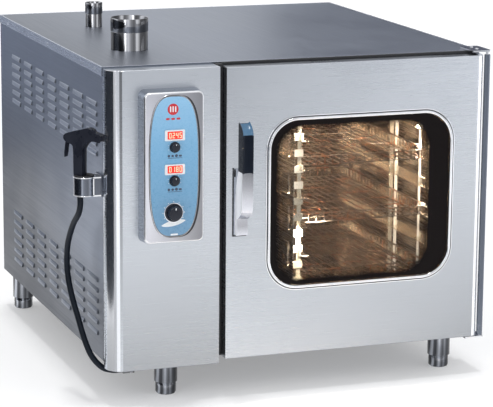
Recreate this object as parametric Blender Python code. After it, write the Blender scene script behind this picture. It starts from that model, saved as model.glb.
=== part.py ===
"""Counter-top combi steamer oven: louvred steel cabinet, proud control column, glazed side-hung door,
two exhaust pipes, four feet and a hand shower in its holder. Lengths are millimetres, scaled to metres."""

import math

import bmesh
import bpy
from mathutils import Matrix, Vector

MM = 0.001

# Cabinet. x runs from its left side, y from the front plane into the depth, z from its underside.
BODY_W = 937.0
FRAME_Y = 49.5
BACK_Y = 1006.0
BODY_H = 690.4
SHEET = 1.5
RETURN = 14.0
FLANGE_DROP = 21.0
OVERHANG = 2.0
FOOT_DROP = 100.0
GAP = 0.4

# Control column and its pod.
FASCIA_W = 265.6
FASCIA_Z = (-15.6, 686.7)
FASCIA_BACK = 47.0
FASCIA_R = 40.0
POD_X = (74.0, 212.0)
POD_Z = (294.0, 638.0)
POD_FRONT = -40.0
POD_DRAFT = 5.0
POD_R = 12.0
PANEL_T = 1.2
PANEL_C = (142.0, 469.5)
PANEL_HALF = (57.0, 161.0)
SMALL_KNOB_R = 12.5
MODE_KNOB_R = 21.0
MODE_KNOB_L = 18.0
SMALL_KNOB_L = 12.0

# Door, window and hinge.
DOOR_X = (281.7, 936.0)
DOOR_Z = (-6.4, 683.6)
DOOR_T = 46.0
DOOR_EDGE_R = 24.0
SKIN = 2.0
WINDOW_X = (379.0, 857.0)
WINDOW_Z = (147.0, 564.0)
WINDOW_R = 80.0
HINGE_X = 943.7
HINGE_Y = 12.0
HINGE_TUBE_R = 7.3
HINGE_BORE_R = 4.0
HINGE_PIN_R = 3.6

# Handle, turning about the spindle.
HANDLE_X = 315.0
SPINDLE_Z = 320.0
SPINDLE_R = 7.0
LATCH_R = 29.0

# Oven cavity and what stands in it.
CAVITY_X = (360.0, 885.0)
CAVITY_Z = (60.0, 640.0)
CAVITY_BACK = 760.0
FAN_Y = 400.0
FAN_Z = 350.0
RUNNER_LEVELS = [130.0 + 70.0 * level for level in range(7)]
UPRIGHT_Y = (120.0, 390.0, 660.0)

# Exhausts: x, y, outer radius, height, height of the seam.
LARGE_PIPE = (141.0, 300.0, 45.0, 76.0, 44.0)
SMALL_PIPE = (172.0, 710.0, 22.0, 62.0, 34.0)

# Feet: centre of each.
FEET = {
    "front_left": (162.0, 84.0),
    "front_right": (873.0, 92.0),
    "rear_left": (42.0, 962.0),
    "rear_right": (873.0, 962.0),
}
FOOT_TUBE_R = 27.5
FOOT_INSERT_R = 24.5
FOOT_TUBE_L = 70.0

# Hand shower: handle axis, direction of its head, and holder ring.
GUN_X = -46.0
GUN_Y = 76.0
GUN_TURN = math.radians(-50.0)
RING_X = -37.0
RING_Y = 72.0
RING_R = 25.0
RING_Z = (394.0, 436.0)
HOSE_R = 7.0
HOSE_TOP_Z = 390.0
HOSE_END = (50.0, 64.0, -28.0)

# Half extents that centre the set on its footprint.
LEFT_REACH = RING_X - RING_R
RIGHT_REACH = HINGE_X + HINGE_TUBE_R
FRONT_REACH = POD_FRONT - GAP - PANEL_T - GAP - MODE_KNOB_L
REAR_REACH = BACK_Y + OVERHANG


for old in list(bpy.data.objects):
    bpy.data.objects.remove(old, do_unlink=True)


def material(name, color, metallic, roughness, alpha=1.0):
    made = bpy.data.materials.new(name)
    made.use_nodes = True
    shader = made.node_tree.nodes["Principled BSDF"]
    shader.inputs["Base Color"].default_value = (*color, 1.0)
    shader.inputs["Metallic"].default_value = metallic
    shader.inputs["Roughness"].default_value = roughness
    shader.inputs["Alpha"].default_value = alpha
    return made


STEEL = material("brushed_steel", (0.62, 0.64, 0.67), 1.0, 0.32)
POLISHED = material("polished_steel", (0.75, 0.76, 0.78), 1.0, 0.12)
CHROME = material("chrome", (0.82, 0.83, 0.85), 1.0, 0.06)
LINER = material("cavity_steel", (0.60, 0.56, 0.50), 1.0, 0.35)
DARK = material("black_plastic", (0.02, 0.022, 0.03), 0.0, 0.35)
RUBBER = material("black_rubber", (0.015, 0.015, 0.017), 0.0, 0.65)
BLUE = material("blue_panel", (0.16, 0.45, 0.68), 0.0, 0.30)
DISPLAY = material("display_window", (0.75, 0.05, 0.03), 0.0, 0.20)
GLASS = material("glass", (0.10, 0.08, 0.06), 0.0, 0.05, 0.35)
LENS = material("lamp_lens", (0.95, 0.80, 0.50), 0.0, 0.20)


def finish(name, shape, skin, smooth=False, origin=(0.0, 0.0, 0.0)):
    """Turn a bmesh in millimetres into a named object whose origin is the given point."""
    bmesh.ops.recalc_face_normals(shape, faces=shape.faces[:])
    for vertex in shape.verts:
        vertex.co = (vertex.co - Vector(origin)) * MM
    mesh = bpy.data.meshes.new(name)
    shape.to_mesh(mesh)
    shape.free()
    mesh.materials.append(skin)
    if smooth:
        mesh.polygons.foreach_set("use_smooth", [True] * len(mesh.polygons))
        mesh.set_sharp_from_angle(angle=math.radians(35.0))
    made = bpy.data.objects.new(name, mesh)
    made.location = Vector(origin) * MM
    bpy.context.scene.collection.objects.link(made)
    return made


def place(axis, u, v, along):
    """Point with in-plane coordinates u, v and the third one along the axis."""
    if axis == "X":
        return (along, u, v)
    if axis == "Y":
        return (u, along, v)
    return (u, v, along)


def loft(name, rings, skin, closed=False, **options):
    """Skin through rings of equal point counts; closed joins the last ring to the first, else both are capped."""
    shape = bmesh.new()
    rows = [[shape.verts.new(point) for point in ring] for ring in rings]
    pairs = list(zip(rows, rows[1:]))
    if closed:
        pairs.append((rows[-1], rows[0]))
    for lower, upper in pairs:
        for i in range(len(lower)):
            j = (i + 1) % len(lower)
            shape.faces.new((lower[i], lower[j], upper[j], upper[i]))
    if not closed:
        shape.faces.new(rows[0])
        shape.faces.new(rows[-1])
    return finish(name, shape, skin, **options)


def prism(name, outline, axis, low, high, skin, **options):
    rings = [[place(axis, u, v, along) for u, v in outline] for along in (low, high)]
    return loft(name, rings, skin, **options)


def box(name, x, y, z, skin, **options):
    return prism(name, [(x[0], y[0]), (x[1], y[0]), (x[1], y[1]), (x[0], y[1])], "Z", z[0], z[1], skin, **options)


def rounded(x, z, radius, steps=6):
    """Rounded rectangle, anticlockwise from the lower right corner."""
    outline = []
    corners = (
        (x[1] - radius, z[0] + radius, -90.0),
        (x[1] - radius, z[1] - radius, 0.0),
        (x[0] + radius, z[1] - radius, 90.0),
        (x[0] + radius, z[0] + radius, 180.0),
    )
    for cx, cz, start in corners:
        for step in range(steps + 1):
            angle = math.radians(start + 90.0 * step / steps)
            outline.append((cx + radius * math.cos(angle), cz + radius * math.sin(angle)))
    return outline


def window_outline(inset, steps=8):
    return rounded(
        (WINDOW_X[0] + inset, WINDOW_X[1] - inset),
        (WINDOW_Z[0] + inset, WINDOW_Z[1] - inset),
        WINDOW_R - inset,
        steps,
    )


def circle(radius, steps, centre=(0.0, 0.0)):
    turns = [2.0 * math.pi * i / steps for i in range(steps)]
    return [(centre[0] + radius * math.cos(a), centre[1] + radius * math.sin(a)) for a in turns]


def turned(name, profile, axis, centre, steps, skin, closed=False, **options):
    """Lathe: profile is radius and position along the axis; closed makes a ring-shaped section."""
    shape = bmesh.new()
    u0, v0, along0 = centre
    rows = []
    for radius, along in profile:
        if radius == 0.0:
            rows.append([shape.verts.new(place(axis, u0, v0, along0 + along))])
            continue
        rows.append([shape.verts.new(place(axis, u, v, along0 + along)) for u, v in circle(radius, steps, (u0, v0))])
    pairs = list(zip(rows, rows[1:]))
    if closed:
        pairs.append((rows[-1], rows[0]))
    for lower, upper in pairs:
        for i in range(steps):
            j = (i + 1) % steps
            corners = [lower[i % len(lower)], lower[j % len(lower)], upper[j % len(upper)], upper[i % len(upper)]]
            shape.faces.new(list(dict.fromkeys(corners)))
    return finish(name, shape, skin, **options)


def tube(name, axis, centre, outer, inner, low, high, steps, skin, **options):
    profile = [(outer, low), (outer, high), (inner, high), (inner, low)]
    return turned(name, profile, axis, centre, steps, skin, closed=True, **options)


def rod(name, axis, centre, radius, low, high, steps, skin, **options):
    return turned(name, [(0.0, low), (radius, low), (radius, high), (0.0, high)], axis, centre, steps, skin, **options)


def pan(name, x, y, z, wall, opening, skin, **options):
    """Five-sided sheet box; opening is its open side, such as +X."""
    low = [x[0], y[0], z[0]]
    high = [x[1], y[1], z[1]]
    inner_low = [value + wall for value in low]
    inner_high = [value - wall for value in high]
    index = "XYZ".index(opening[1])
    if opening[0] == "+":
        inner_high[index] = high[index]
    else:
        inner_low[index] = low[index]

    def section(a, b, level):
        others = [i for i in range(3) if i != index]
        ring = []
        for p, q in ((a, a), (b, a), (b, b), (a, b)):
            point = [0.0, 0.0, 0.0]
            point[others[0]] = p[others[0]]
            point[others[1]] = q[others[1]]
            point[index] = level
            ring.append(tuple(point))
        return ring

    if opening[0] == "+":
        levels = (low[index], high[index], high[index], inner_low[index])
    else:
        levels = (high[index], low[index], low[index], inner_high[index])
    rings = [
        section(low, high, levels[0]),
        section(low, high, levels[1]),
        section(inner_low, inner_high, levels[2]),
        section(inner_low, inner_high, levels[3]),
    ]
    return loft(name, rings, skin, **options)


def combine(target, tool, operation):
    """Boolean with a hidden guide; the guide itself is not a part."""
    change = target.modifiers.new(operation.lower(), "BOOLEAN")
    change.operation = operation
    change.solver = "EXACT"
    change.object = tool
    tool.hide_render = True
    tool.display_type = "WIRE"
    return target


def cut(target, *tools):
    for tool in tools:
        combine(target, tool, "DIFFERENCE")
    return target


def join(target, *tools):
    for tool in tools:
        combine(target, tool, "UNION")
    return target


# Cabinet sheets.
left_panel = pan(
    "side_panel_left", (0.0, RETURN), (FRAME_Y, BACK_Y - SHEET), (0.0, BODY_H - SHEET - GAP), SHEET, "+X", STEEL
)
pan(
    "side_panel_right",
    (BODY_W - RETURN, BODY_W),
    (FRAME_Y, BACK_Y - SHEET),
    (0.0, BODY_H - SHEET - GAP),
    SHEET,
    "-X",
    STEEL,
)
INNER_X = (RETURN + GAP, BODY_W - RETURN - GAP)
base = pan("base_tray", INNER_X, (FRAME_Y + SHEET + GAP, BACK_Y - RETURN - GAP), (0.0, 26.0), 2.0, "+Z", STEEL)
pan("rear_panel", INNER_X, (BACK_Y - RETURN, BACK_Y), (2.6, BODY_H - SHEET - GAP), SHEET, "-Y", STEEL)
top = pan(
    "top_cover",
    (-OVERHANG, BODY_W + OVERHANG),
    (FRAME_Y - OVERHANG, BACK_Y + OVERHANG),
    (BODY_H - FLANGE_DROP, BODY_H),
    SHEET,
    "-Z",
    STEEL,
)
for label, (px, py, radius, _, _) in (("large", LARGE_PIPE), ("small", SMALL_PIPE)):
    cut(top, rod("top_hole_" + label, "Z", (px, py, BODY_H), radius - 2.0, -8.0, 8.0, 32, STEEL))
front = box("front_frame", INNER_X, (FRAME_Y, FRAME_Y + SHEET), (2.6, BODY_H - SHEET - GAP), POLISHED)
cut(
    front,
    prism("frame_opening", rounded(CAVITY_X, CAVITY_Z, 20.0), "Y", FRAME_Y - 5.0, FRAME_Y + 6.0, STEEL),
    rod("frame_latch_hole", "Y", (HANDLE_X + 2.0, SPINDLE_Z, FRAME_Y), LATCH_R, -5.0, 6.0, 32, STEEL),
)

# Control column: wrapped sheet with a large rounded outer corner.


def column_outline(inset, back):
    radius = FASCIA_R - inset
    outline = [(FASCIA_W - inset, back)]
    outline.append((FASCIA_W - inset, inset))
    for step in range(9):
        angle = math.radians(270.0 - 90.0 * step / 8)
        outline.append((FASCIA_R + radius * math.cos(angle), FASCIA_R + radius * math.sin(angle)))
    outline.append((inset, back))
    return outline


fascia = prism("control_fascia", column_outline(0.0, FASCIA_BACK), "Z", *FASCIA_Z, STEEL, smooth=True)
cut(
    fascia,
    prism(
        "fascia_inside", column_outline(SKIN, FASCIA_BACK + 10.0), "Z", FASCIA_Z[0] + SKIN, FASCIA_Z[1] - SKIN, STEEL
    ),
)


def pod_ring(grow, y):
    outline = rounded(
        (POD_X[0] - grow, POD_X[1] + grow), (POD_Z[0] - grow, POD_Z[1] + grow), POD_R + grow * 0.5, 5
    )
    return [place("Y", u, v, y) for u, v in outline]


POD_WALL = 2.5
pod = loft(
    "control_pod",
    [
        pod_ring(POD_DRAFT, -GAP),
        pod_ring(1.5, POD_FRONT + 4.0),
        pod_ring(-1.5, POD_FRONT),
    ],
    POLISHED,
)
cut(
    pod,
    loft("pod_inside", [pod_ring(POD_DRAFT - POD_WALL, 6.0), pod_ring(-POD_WALL, POD_FRONT + POD_WALL)], STEEL),
)


def barrel(half, power, steps):
    outline = []
    for i in range(steps):
        angle = 2.0 * math.pi * i / steps
        c, s = math.cos(angle), math.sin(angle)
        u = math.copysign(abs(c) ** (2.0 / power), c) * half[0]
        v = math.copysign(abs(s) ** (2.0 / power), s) * half[1]
        outline.append((PANEL_C[0] + u, PANEL_C[1] + v))
    return outline


PANEL_Y = POD_FRONT - GAP
prism("control_membrane", barrel(PANEL_HALF, 3.2, 48), "Y", PANEL_Y - PANEL_T, PANEL_Y, BLUE)
KNOB_Y = PANEL_Y - PANEL_T - GAP
for name, z in (("display_time", (529.0, 554.0)), ("display_temperature", (451.0, 475.0))):
    prism(name, rounded((119.0, 167.0), z, 3.0, 3), "Y", KNOB_Y - 2.0, KNOB_Y, DISPLAY)


def knob(name, x, z, radius, length):
    profile = [
        (0.0, 0.0),
        (radius, 0.0),
        (radius, -length * 0.25),
        (radius * 0.86, -length * 0.4),
        (radius * 0.80, -length * 0.92),
        (radius * 0.72, -length),
        (0.0, -length),
    ]
    return turned(name, profile, "Y", (x, z, KNOB_Y), 28, DARK, smooth=True, origin=(x, KNOB_Y, z))


knob("knob_time", 143.0, 514.0, SMALL_KNOB_R, SMALL_KNOB_L)
knob("knob_temperature", 142.5, 436.5, SMALL_KNOB_R, SMALL_KNOB_L)
knob("knob_mode", 140.5, 363.0, MODE_KNOB_R, MODE_KNOB_L)

# Oven cavity, fan side and racks.
cavity = pan(
    "cavity_liner",
    (CAVITY_X[0] - 2.0, CAVITY_X[1] + 2.0),
    (FRAME_Y + SHEET + GAP, CAVITY_BACK),
    (CAVITY_Z[0] - 2.0, CAVITY_Z[1] + 2.0),
    SHEET,
    "-Y",
    LINER,
)
cut(cavity, rod("shaft_hole", "X", (FAN_Y, FAN_Z, CAVITY_X[0]), 14.0, -12.0, 12.0, 24, LINER))
gasket_x = (CAVITY_X[0] - 12.0, CAVITY_X[1] + 12.0)
gasket_z = (CAVITY_Z[0] - 12.0, CAVITY_Z[1] + 12.0)


def gasket_ring(inset, y):
    outline = rounded(
        (gasket_x[0] + inset, gasket_x[1] - inset), (gasket_z[0] + inset, gasket_z[1] - inset), 22.0 - inset, 5
    )
    return [place("Y", u, v, y) for u, v in outline]


loft(
    "door_gasket",
    [
        gasket_ring(0.0, FRAME_Y - GAP),
        gasket_ring(2.0, DOOR_T + GAP),
        gasket_ring(8.0, DOOR_T + GAP),
        gasket_ring(10.0, FRAME_Y - GAP),
    ],
    RUBBER,
    closed=True,
)
guard = box("fan_guard", (470.0, 472.0), (58.0, CAVITY_BACK - 6.0), (CAVITY_Z[0] + 2.0, CAVITY_Z[1] - 2.0), LINER)
cut(guard, rod("guard_intake", "X", (FAN_Y, FAN_Z, 471.0), 120.0, -8.0, 8.0, 40, LINER))
turned(
    "fan_motor",
    [(0.0, 200.0), (56.0, 200.0), (60.0, 206.0), (60.0, 330.0), (75.0, 330.0), (75.0, 338.0), (0.0, 338.0)],
    "X",
    (FAN_Y, FAN_Z, 0.0),
    28,
    DARK,
    smooth=True,
)
fan = turned(
    "fan_wheel",
    [(0.0, 342.0), (8.0, 342.0), (8.0, 376.0), (140.0, 376.0), (140.0, 379.0), (22.0, 379.0), (22.0, 400.0), (0.0, 400.0)],
    "X",
    (FAN_Y, FAN_Z, 0.0),
    36,
    LINER,
    origin=(376.0, FAN_Y, FAN_Z),
)
for blade in range(8):
    turn = 2.0 * math.pi * (blade + 0.3) / 8
    inner, outer, half = 88.0, 136.0, 2.0
    corners = ((inner, -half), (outer, -half), (outer, half), (inner, half))
    spin = [
        (FAN_Y + r * math.cos(turn) - t * math.sin(turn), FAN_Z + r * math.sin(turn) + t * math.cos(turn))
        for r, t in corners
    ]
    join(fan, prism("fan_blade_%d" % blade, spin, "X", 377.5, 430.0, LINER))

turned(
    "heating_ring",
    [(168.0 + 6.0 * c, 405.0 + 6.0 * s) for c, s in circle(1.0, 8)],
    "X",
    (FAN_Y, FAN_Z, 0.0),
    40,
    CHROME,
    closed=True,
    smooth=True,
)
turned(
    "cavity_lamp",
    [(0.0, 0.0), (38.0, 0.0), (38.0, -5.0), (30.0, -9.0), (16.0, -12.0), (0.0, -13.0)],
    "X",
    (545.0, 575.0, CAVITY_X[1] - 0.5 - GAP),
    28,
    LENS,
    smooth=True,
)
turned(
    "drain_strainer",
    [(0.0, 0.0), (34.0, 0.0), (34.0, 3.0), (26.0, 10.0), (14.0, 16.0), (0.0, 18.0)],
    "Z",
    (812.0, 400.0, CAVITY_Z[0] - 0.5 + GAP),
    28,
    CHROME,
    smooth=True,
)


def rack(name, upright_x, runner_x):
    bars = []
    for i, y in enumerate(UPRIGHT_Y):
        z = (CAVITY_Z[0] + 1.0, CAVITY_Z[1] - 6.0)
        bars.append(box("%s_bar_%d" % (name, i), upright_x, (y - 6.0, y + 6.0), z, LINER))
    bars[0].name = name
    bars[0].data.name = name
    tools = bars[1:]
    for i, z in enumerate(RUNNER_LEVELS):
        tools.append(box("%s_runner_%d" % (name, i), runner_x, (100.0, 690.0), (z, z + 3.0), LINER))
    return join(bars[0], *tools)


rack("rack_left", (500.0, 512.0), (505.0, 527.0))
rack("rack_right", (858.0, 870.0), (843.0, 865.0))
for i, level in enumerate((0, 2, 4)):
    bottom = RUNNER_LEVELS[level] + 3.0 + GAP
    pan("tray_%d" % (i + 1), (516.0, 854.0), (130.0, 660.0), (bottom, bottom + 24.0), 1.2, "+Z", LINER)

# Exhaust pipes: a lower pipe with a slightly wider sleeve above the seam.
for label, (px, py, radius, height, seam) in (("large", LARGE_PIPE), ("small", SMALL_PIPE)):
    tube("exhaust_%s_pipe" % label, "Z", (px, py, BODY_H), radius - 1.0, radius - 2.6, GAP, seam, 32, CHROME, smooth=True)
    tube(
        "exhaust_%s_sleeve" % label, "Z", (px, py, BODY_H), radius, radius - 2.6, seam + GAP, height, 32, CHROME, smooth=True
    )

# Feet: fixed tube under the base and a faceted screw foot.
for label, (px, py) in FEET.items():
    tube("foot_tube_" + label, "Z", (px, py, 0.0), FOOT_TUBE_R, FOOT_TUBE_R - 2.5, -FOOT_TUBE_L, -GAP, 28, POLISHED, smooth=True)
    turned(
        "foot_insert_" + label,
        [
            (0.0, -FOOT_DROP),
            (FOOT_INSERT_R - 4.0, -FOOT_DROP),
            (FOOT_INSERT_R, -FOOT_DROP + 5.0),
            (FOOT_INSERT_R, -FOOT_TUBE_L - 3.0),
            (FOOT_INSERT_R - 1.5, -FOOT_TUBE_L - 1.0),
            (FOOT_INSERT_R - 1.5, -FOOT_TUBE_L + 26.0),
            (0.0, -FOOT_TUBE_L + 26.0),
        ],
        "Z",
        (px, py, 0.0),
        12,
        POLISHED,
    )

# Door: folded outer skin, inner plate, window and hinge tube.


def door_outline(inset, back):
    radius = DOOR_EDGE_R - inset
    cx, cy = DOOR_X[1] - DOOR_EDGE_R, DOOR_EDGE_R
    outline = [(DOOR_X[0] + inset, back), (DOOR_X[0] + inset, inset)]
    for step in range(7):
        angle = math.radians(270.0 + 90.0 * step / 6)
        outline.append((cx + radius * math.cos(angle), cy + radius * math.sin(angle)))
    outline.append((DOOR_X[1] - inset, back))
    return outline


HINGE = (HINGE_X, HINGE_Y, 0.0)
shell = prism("door_shell", door_outline(0.0, DOOR_T), "Z", *DOOR_Z, STEEL, smooth=True, origin=HINGE)
cut(
    shell,
    prism("door_inside", door_outline(SKIN, DOOR_T + 10.0), "Z", DOOR_Z[0] + SKIN, DOOR_Z[1] - SKIN, STEEL),
    prism("door_window_cut", window_outline(9.0), "Y", -8.0, 14.0, STEEL),
    rod("door_spindle_cut", "Y", (HANDLE_X, SPINDLE_Z, 0.0), SPINDLE_R + 2.0, -8.0, 12.0, 24, STEEL),
)
inner_x = (DOOR_X[0] + SKIN + GAP, DOOR_X[1] - SKIN - GAP)
inner_z = (DOOR_Z[0] + SKIN + GAP, DOOR_Z[1] - SKIN - GAP)
inner = box("door_inner_frame", inner_x, (DOOR_T - 6.0, DOOR_T - GAP), inner_z, POLISHED, origin=HINGE)
cut(
    inner,
    prism("inner_window_cut", window_outline(9.0), "Y", DOOR_T - 16.0, DOOR_T + 10.0, STEEL),
    rod("inner_spindle_cut", "Y", (HANDLE_X, SPINDLE_Z, DOOR_T), SPINDLE_R + 2.0, -16.0, 10.0, 24, STEEL),
)
trim_section = (
    (0.0, -GAP),
    (0.0, -3.0),
    (3.0, -5.5),
    (9.0, -5.5),
    (12.0, -3.0),
    (12.0, DOOR_T - 4.0),
    (10.0, DOOR_T - 4.0),
    (10.0, -GAP),
)
loft(
    "window_trim",
    [[place("Y", u, v, y) for u, v in window_outline(inset)] for inset, y in trim_section],
    CHROME,
    closed=True,
    smooth=True,
    origin=HINGE,
)
prism("glass_outer", window_outline(12.4), "Y", 2.0, 7.0, GLASS, origin=HINGE)
prism("glass_inner", window_outline(12.4), "Y", 33.0, 38.0, GLASS, origin=HINGE)
tube(
    "hinge_tube",
    "Z",
    (HINGE_X, HINGE_Y, 0.0),
    HINGE_TUBE_R,
    HINGE_BORE_R,
    DOOR_Z[0],
    DOOR_Z[1],
    24,
    CHROME,
    smooth=True,
    origin=HINGE,
)

# Hinge brackets with their pins.
BRACKET_X = (903.0, HINGE_X + HINGE_TUBE_R)
top_bracket = prism(
    "hinge_bracket_top",
    rounded(BRACKET_X, (HINGE_Y - HINGE_TUBE_R, 84.0), 7.0, 4),
    "Z",
    BODY_H + GAP,
    BODY_H + 4.4,
    POLISHED,
)
join(top_bracket, rod("pin_top", "Z", (HINGE_X, HINGE_Y, 0.0), HINGE_PIN_R, 655.0, BODY_H + 2.0, 20, POLISHED))
bottom_section = [
    (HINGE_Y - HINGE_TUBE_R, -12.4),
    (124.0, -12.4),
    (124.0, -GAP),
    (FRAME_Y + 2.0, -GAP),
    (FRAME_Y + 2.0, -8.4),
    (HINGE_Y - HINGE_TUBE_R, -8.4),
]
bottom_bracket = prism("hinge_bracket_bottom", bottom_section, "X", *BRACKET_X, POLISHED)
join(bottom_bracket, rod("pin_bottom", "Z", (HINGE_X, HINGE_Y, 0.0), HINGE_PIN_R, -10.0, 25.0, 20, POLISHED))

# Handle: escutcheon on the door, lever, grip and latch spindle.
escutcheon = prism("handle_escutcheon", rounded((299.0, 334.0), (290.0, 447.0), 4.0, 3), "Y", -3.0, -GAP, POLISHED)
cut(escutcheon, rod("escutcheon_hole", "Y", (HANDLE_X, SPINDLE_Z, 0.0), SPINDLE_R + 1.5, -9.0, 6.0, 24, STEEL))
SPINDLE = (HANDLE_X, 0.0, SPINDLE_Z)
lever_section = [
    (-4.0, 293.0),
    (-16.0, 293.0),
    (-17.0, 333.0),
    (-30.0, 341.0),
    (-50.0, 357.0),
    (-51.0, 400.0),
    (-52.0, 445.0),
    (-27.0, 445.0),
    (-22.0, 436.0),
    (-14.0, 410.0),
    (-9.0, 386.0),
    (-4.0, 368.0),
]
prism("handle_lever", lever_section, "X", HANDLE_X - 13.5, HANDLE_X + 13.5, POLISHED, origin=SPINDLE)
grip_section = [
    (-26.0, 445.0 + GAP),
    (-52.5, 445.0 + GAP),
    (-53.0, 536.0),
    (-48.0, 546.0),
    (-38.0, 553.0),
    (-26.0, 557.0),
]
prism("handle_grip", grip_section, "X", HANDLE_X - 12.5, HANDLE_X + 12.5, DARK, origin=SPINDLE)
spindle = rod("latch_spindle", "Y", (HANDLE_X, SPINDLE_Z, 0.0), SPINDLE_R, -4.0 + GAP, 58.0, 24, POLISHED, origin=SPINDLE)
join(spindle, box("latch_nose", (HANDLE_X - 6.0, HANDLE_X + 6.0), (53.0, 57.5), (SPINDLE_Z, SPINDLE_Z + 24.0), POLISHED))
turned(
    "latch_keeper",
    [
        (0.0, 62.5),
        (LATCH_R - 1.0, 62.5),
        (LATCH_R - 1.0, FRAME_Y + SHEET + GAP),
        (LATCH_R + 2.0, FRAME_Y + SHEET + GAP),
        (LATCH_R + 2.0, 65.0),
        (0.0, 65.0),
    ],
    "Y",
    (HANDLE_X + 2.0, SPINDLE_Z, 0.0),
    32,
    POLISHED,
    smooth=True,
)

# Hand shower holder: bracket on the side panel with an open ring and its rubber cup.
holder = tube("shower_holder", "Z", (RING_X, RING_Y, 0.0), RING_R, RING_R - 2.0, RING_Z[0], RING_Z[1], 32, CHROME, smooth=True)
bracket_foot = box("holder_foot", (-4.0, -GAP), (54.0, 98.0), (RING_Z[0] - 2.0, RING_Z[1] + 6.0), CHROME)
bracket_web = box("holder_web", (-13.6, -2.0), (62.0, 82.0), (RING_Z[0] + 3.0, RING_Z[1] - 3.0), CHROME)
join(holder, bracket_foot, bracket_web)
cup = rod("shower_cup", "Z", (RING_X, RING_Y, 0.0), RING_R - 2.0 - GAP, RING_Z[0] + 2.0, RING_Z[1] + 3.0, 32, RUBBER)
CONNECTOR_R = 9.0
cut(cup, rod("cup_hole", "Z", (GUN_X, GUN_Y, 0.0), CONNECTOR_R + 1.0, RING_Z[0] - 20.0, RING_Z[1] + 20.0, 24, RUBBER))

# Hand shower: profile in its own plane, turned towards the cabinet's front corner.
gun_section = [
    (-9.5, 440.0),
    (-12.0, 470.0),
    (-12.5, 503.0),
    (-20.0, 511.0),
    (-36.0, 517.0),
    (-37.0, 527.0),
    (-28.0, 535.0),
    (5.0, 546.0),
    (26.0, 551.0),
    (36.0, 548.0),
    (42.0, 541.0),
    (60.0, 537.0),
    (60.0, 521.0),
    (44.0, 523.0),
    (30.0, 518.0),
    (18.0, 508.0),
    (12.5, 494.0),
    (12.0, 470.0),
    (9.5, 440.0),
]
GUN_FRAME = Matrix.Translation(Vector((GUN_X, GUN_Y, 0.0)) * MM) @ Matrix.Rotation(GUN_TURN, 4, "Z")


def in_gun_frame(made):
    made.data.transform(GUN_FRAME)
    return made


gun = in_gun_frame(prism("shower_gun", gun_section, "Y", -11.0, 11.0, DARK))
soften = gun.modifiers.new("round", "BEVEL")
soften.width = 4.0 * MM
soften.segments = 2
soften.limit_method = "ANGLE"
soften.angle_limit = math.radians(50.0)
join(gun, rod("gun_tail", "Z", (GUN_X, GUN_Y, 0.0), CONNECTOR_R, HOSE_TOP_Z + 0.3, 450.0, 24, DARK))
TRIGGER_Z = 509.0
trigger_pivot = GUN_FRAME @ Vector((-33.0 * MM, 0.0, TRIGGER_Z * MM)) / MM
trigger_section = [
    (-2.0, 4.0),
    (-5.0, -8.0),
    (-6.5, -24.0),
    (-3.5, -25.0),
    (0.0, -8.0),
    (2.0, 4.0),
]
trigger = prism("shower_trigger", trigger_section, "Y", -7.0, 7.0, DARK)
trigger.location = trigger_pivot * MM
trigger.rotation_euler = (0.0, 0.0, GUN_TURN)

# Hose: from the shower's tail, bowing back along the side, and under the front corner to its union.
route = [
    (GUN_X, GUN_Y, HOSE_TOP_Z - 10.0),
    (GUN_X, 78.0, 366.0),
    (GUN_X, 92.0, 345.0),
    (GUN_X - 1.0, 136.0, 310.0),
    (GUN_X - 1.0, 178.0, 262.0),
    (GUN_X, 196.0, 218.0),
    (GUN_X + 1.0, 191.0, 172.0),
    (-42.0, 166.0, 128.0),
    (-37.0, 132.0, 84.0),
    (-32.0, 98.0, 42.0),
    (-22.0, 73.0, 8.0),
    (0.0, 64.5, -18.0),
    (24.0, 64.0, HOSE_END[2] + 1.0),
    (40.0, 64.0, HOSE_END[2]),
]


def smooth_route(points, per_span):
    """Catmull-Rom curve through the points."""
    padded = [points[0]] + points + [points[-1]]
    line = []
    for i in range(1, len(padded) - 2):
        a, b, c, d = (Vector(padded[i + k]) for k in (-1, 0, 1, 2))
        for step in range(per_span):
            t = step / per_span
            line.append(
                0.5 * (2 * b + (c - a) * t + (2 * a - 5 * b + 4 * c - d) * t**2 + (3 * b - a - 3 * c + d) * t**3)
            )
    line.append(Vector(points[-1]))
    return line


line = [Vector((GUN_X, GUN_Y, HOSE_TOP_Z))] + smooth_route(route, 3) + [Vector(HOSE_END)]
curve = bpy.data.curves.new("shower_hose", "CURVE")
curve.dimensions = "3D"
curve.bevel_depth = HOSE_R * MM
curve.bevel_resolution = 2
curve.use_fill_caps = True
spline = curve.splines.new("POLY")
spline.points.add(len(line) - 1)
for point, co in zip(spline.points, line):
    point.co = (*(co * MM), 1.0)
curve.materials.append(RUBBER)
hose = bpy.data.objects.new("shower_hose", curve)
bpy.context.scene.collection.objects.link(hose)

# Union under the base: a block with a sleeve facing the hose.
UNION_X = HOSE_END[0] + 0.3
union = rod("hose_union", "X", (HOSE_END[1], HOSE_END[2], 0.0), 10.0, UNION_X, UNION_X + 22.0, 24, CHROME, smooth=True)
join(union, rod("union_riser", "Z", (UNION_X + 20.0, HOSE_END[1], 0.0), 8.0, HOSE_END[2] - 9.0, -GAP, 24, CHROME))

# Set the oven down with its feet on the ground and its footprint centred.
shift = Vector((-(LEFT_REACH + RIGHT_REACH) / 2, -(FRONT_REACH + REAR_REACH) / 2, FOOT_DROP)) * MM
for item in bpy.data.objects:
    item.location += shift
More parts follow.
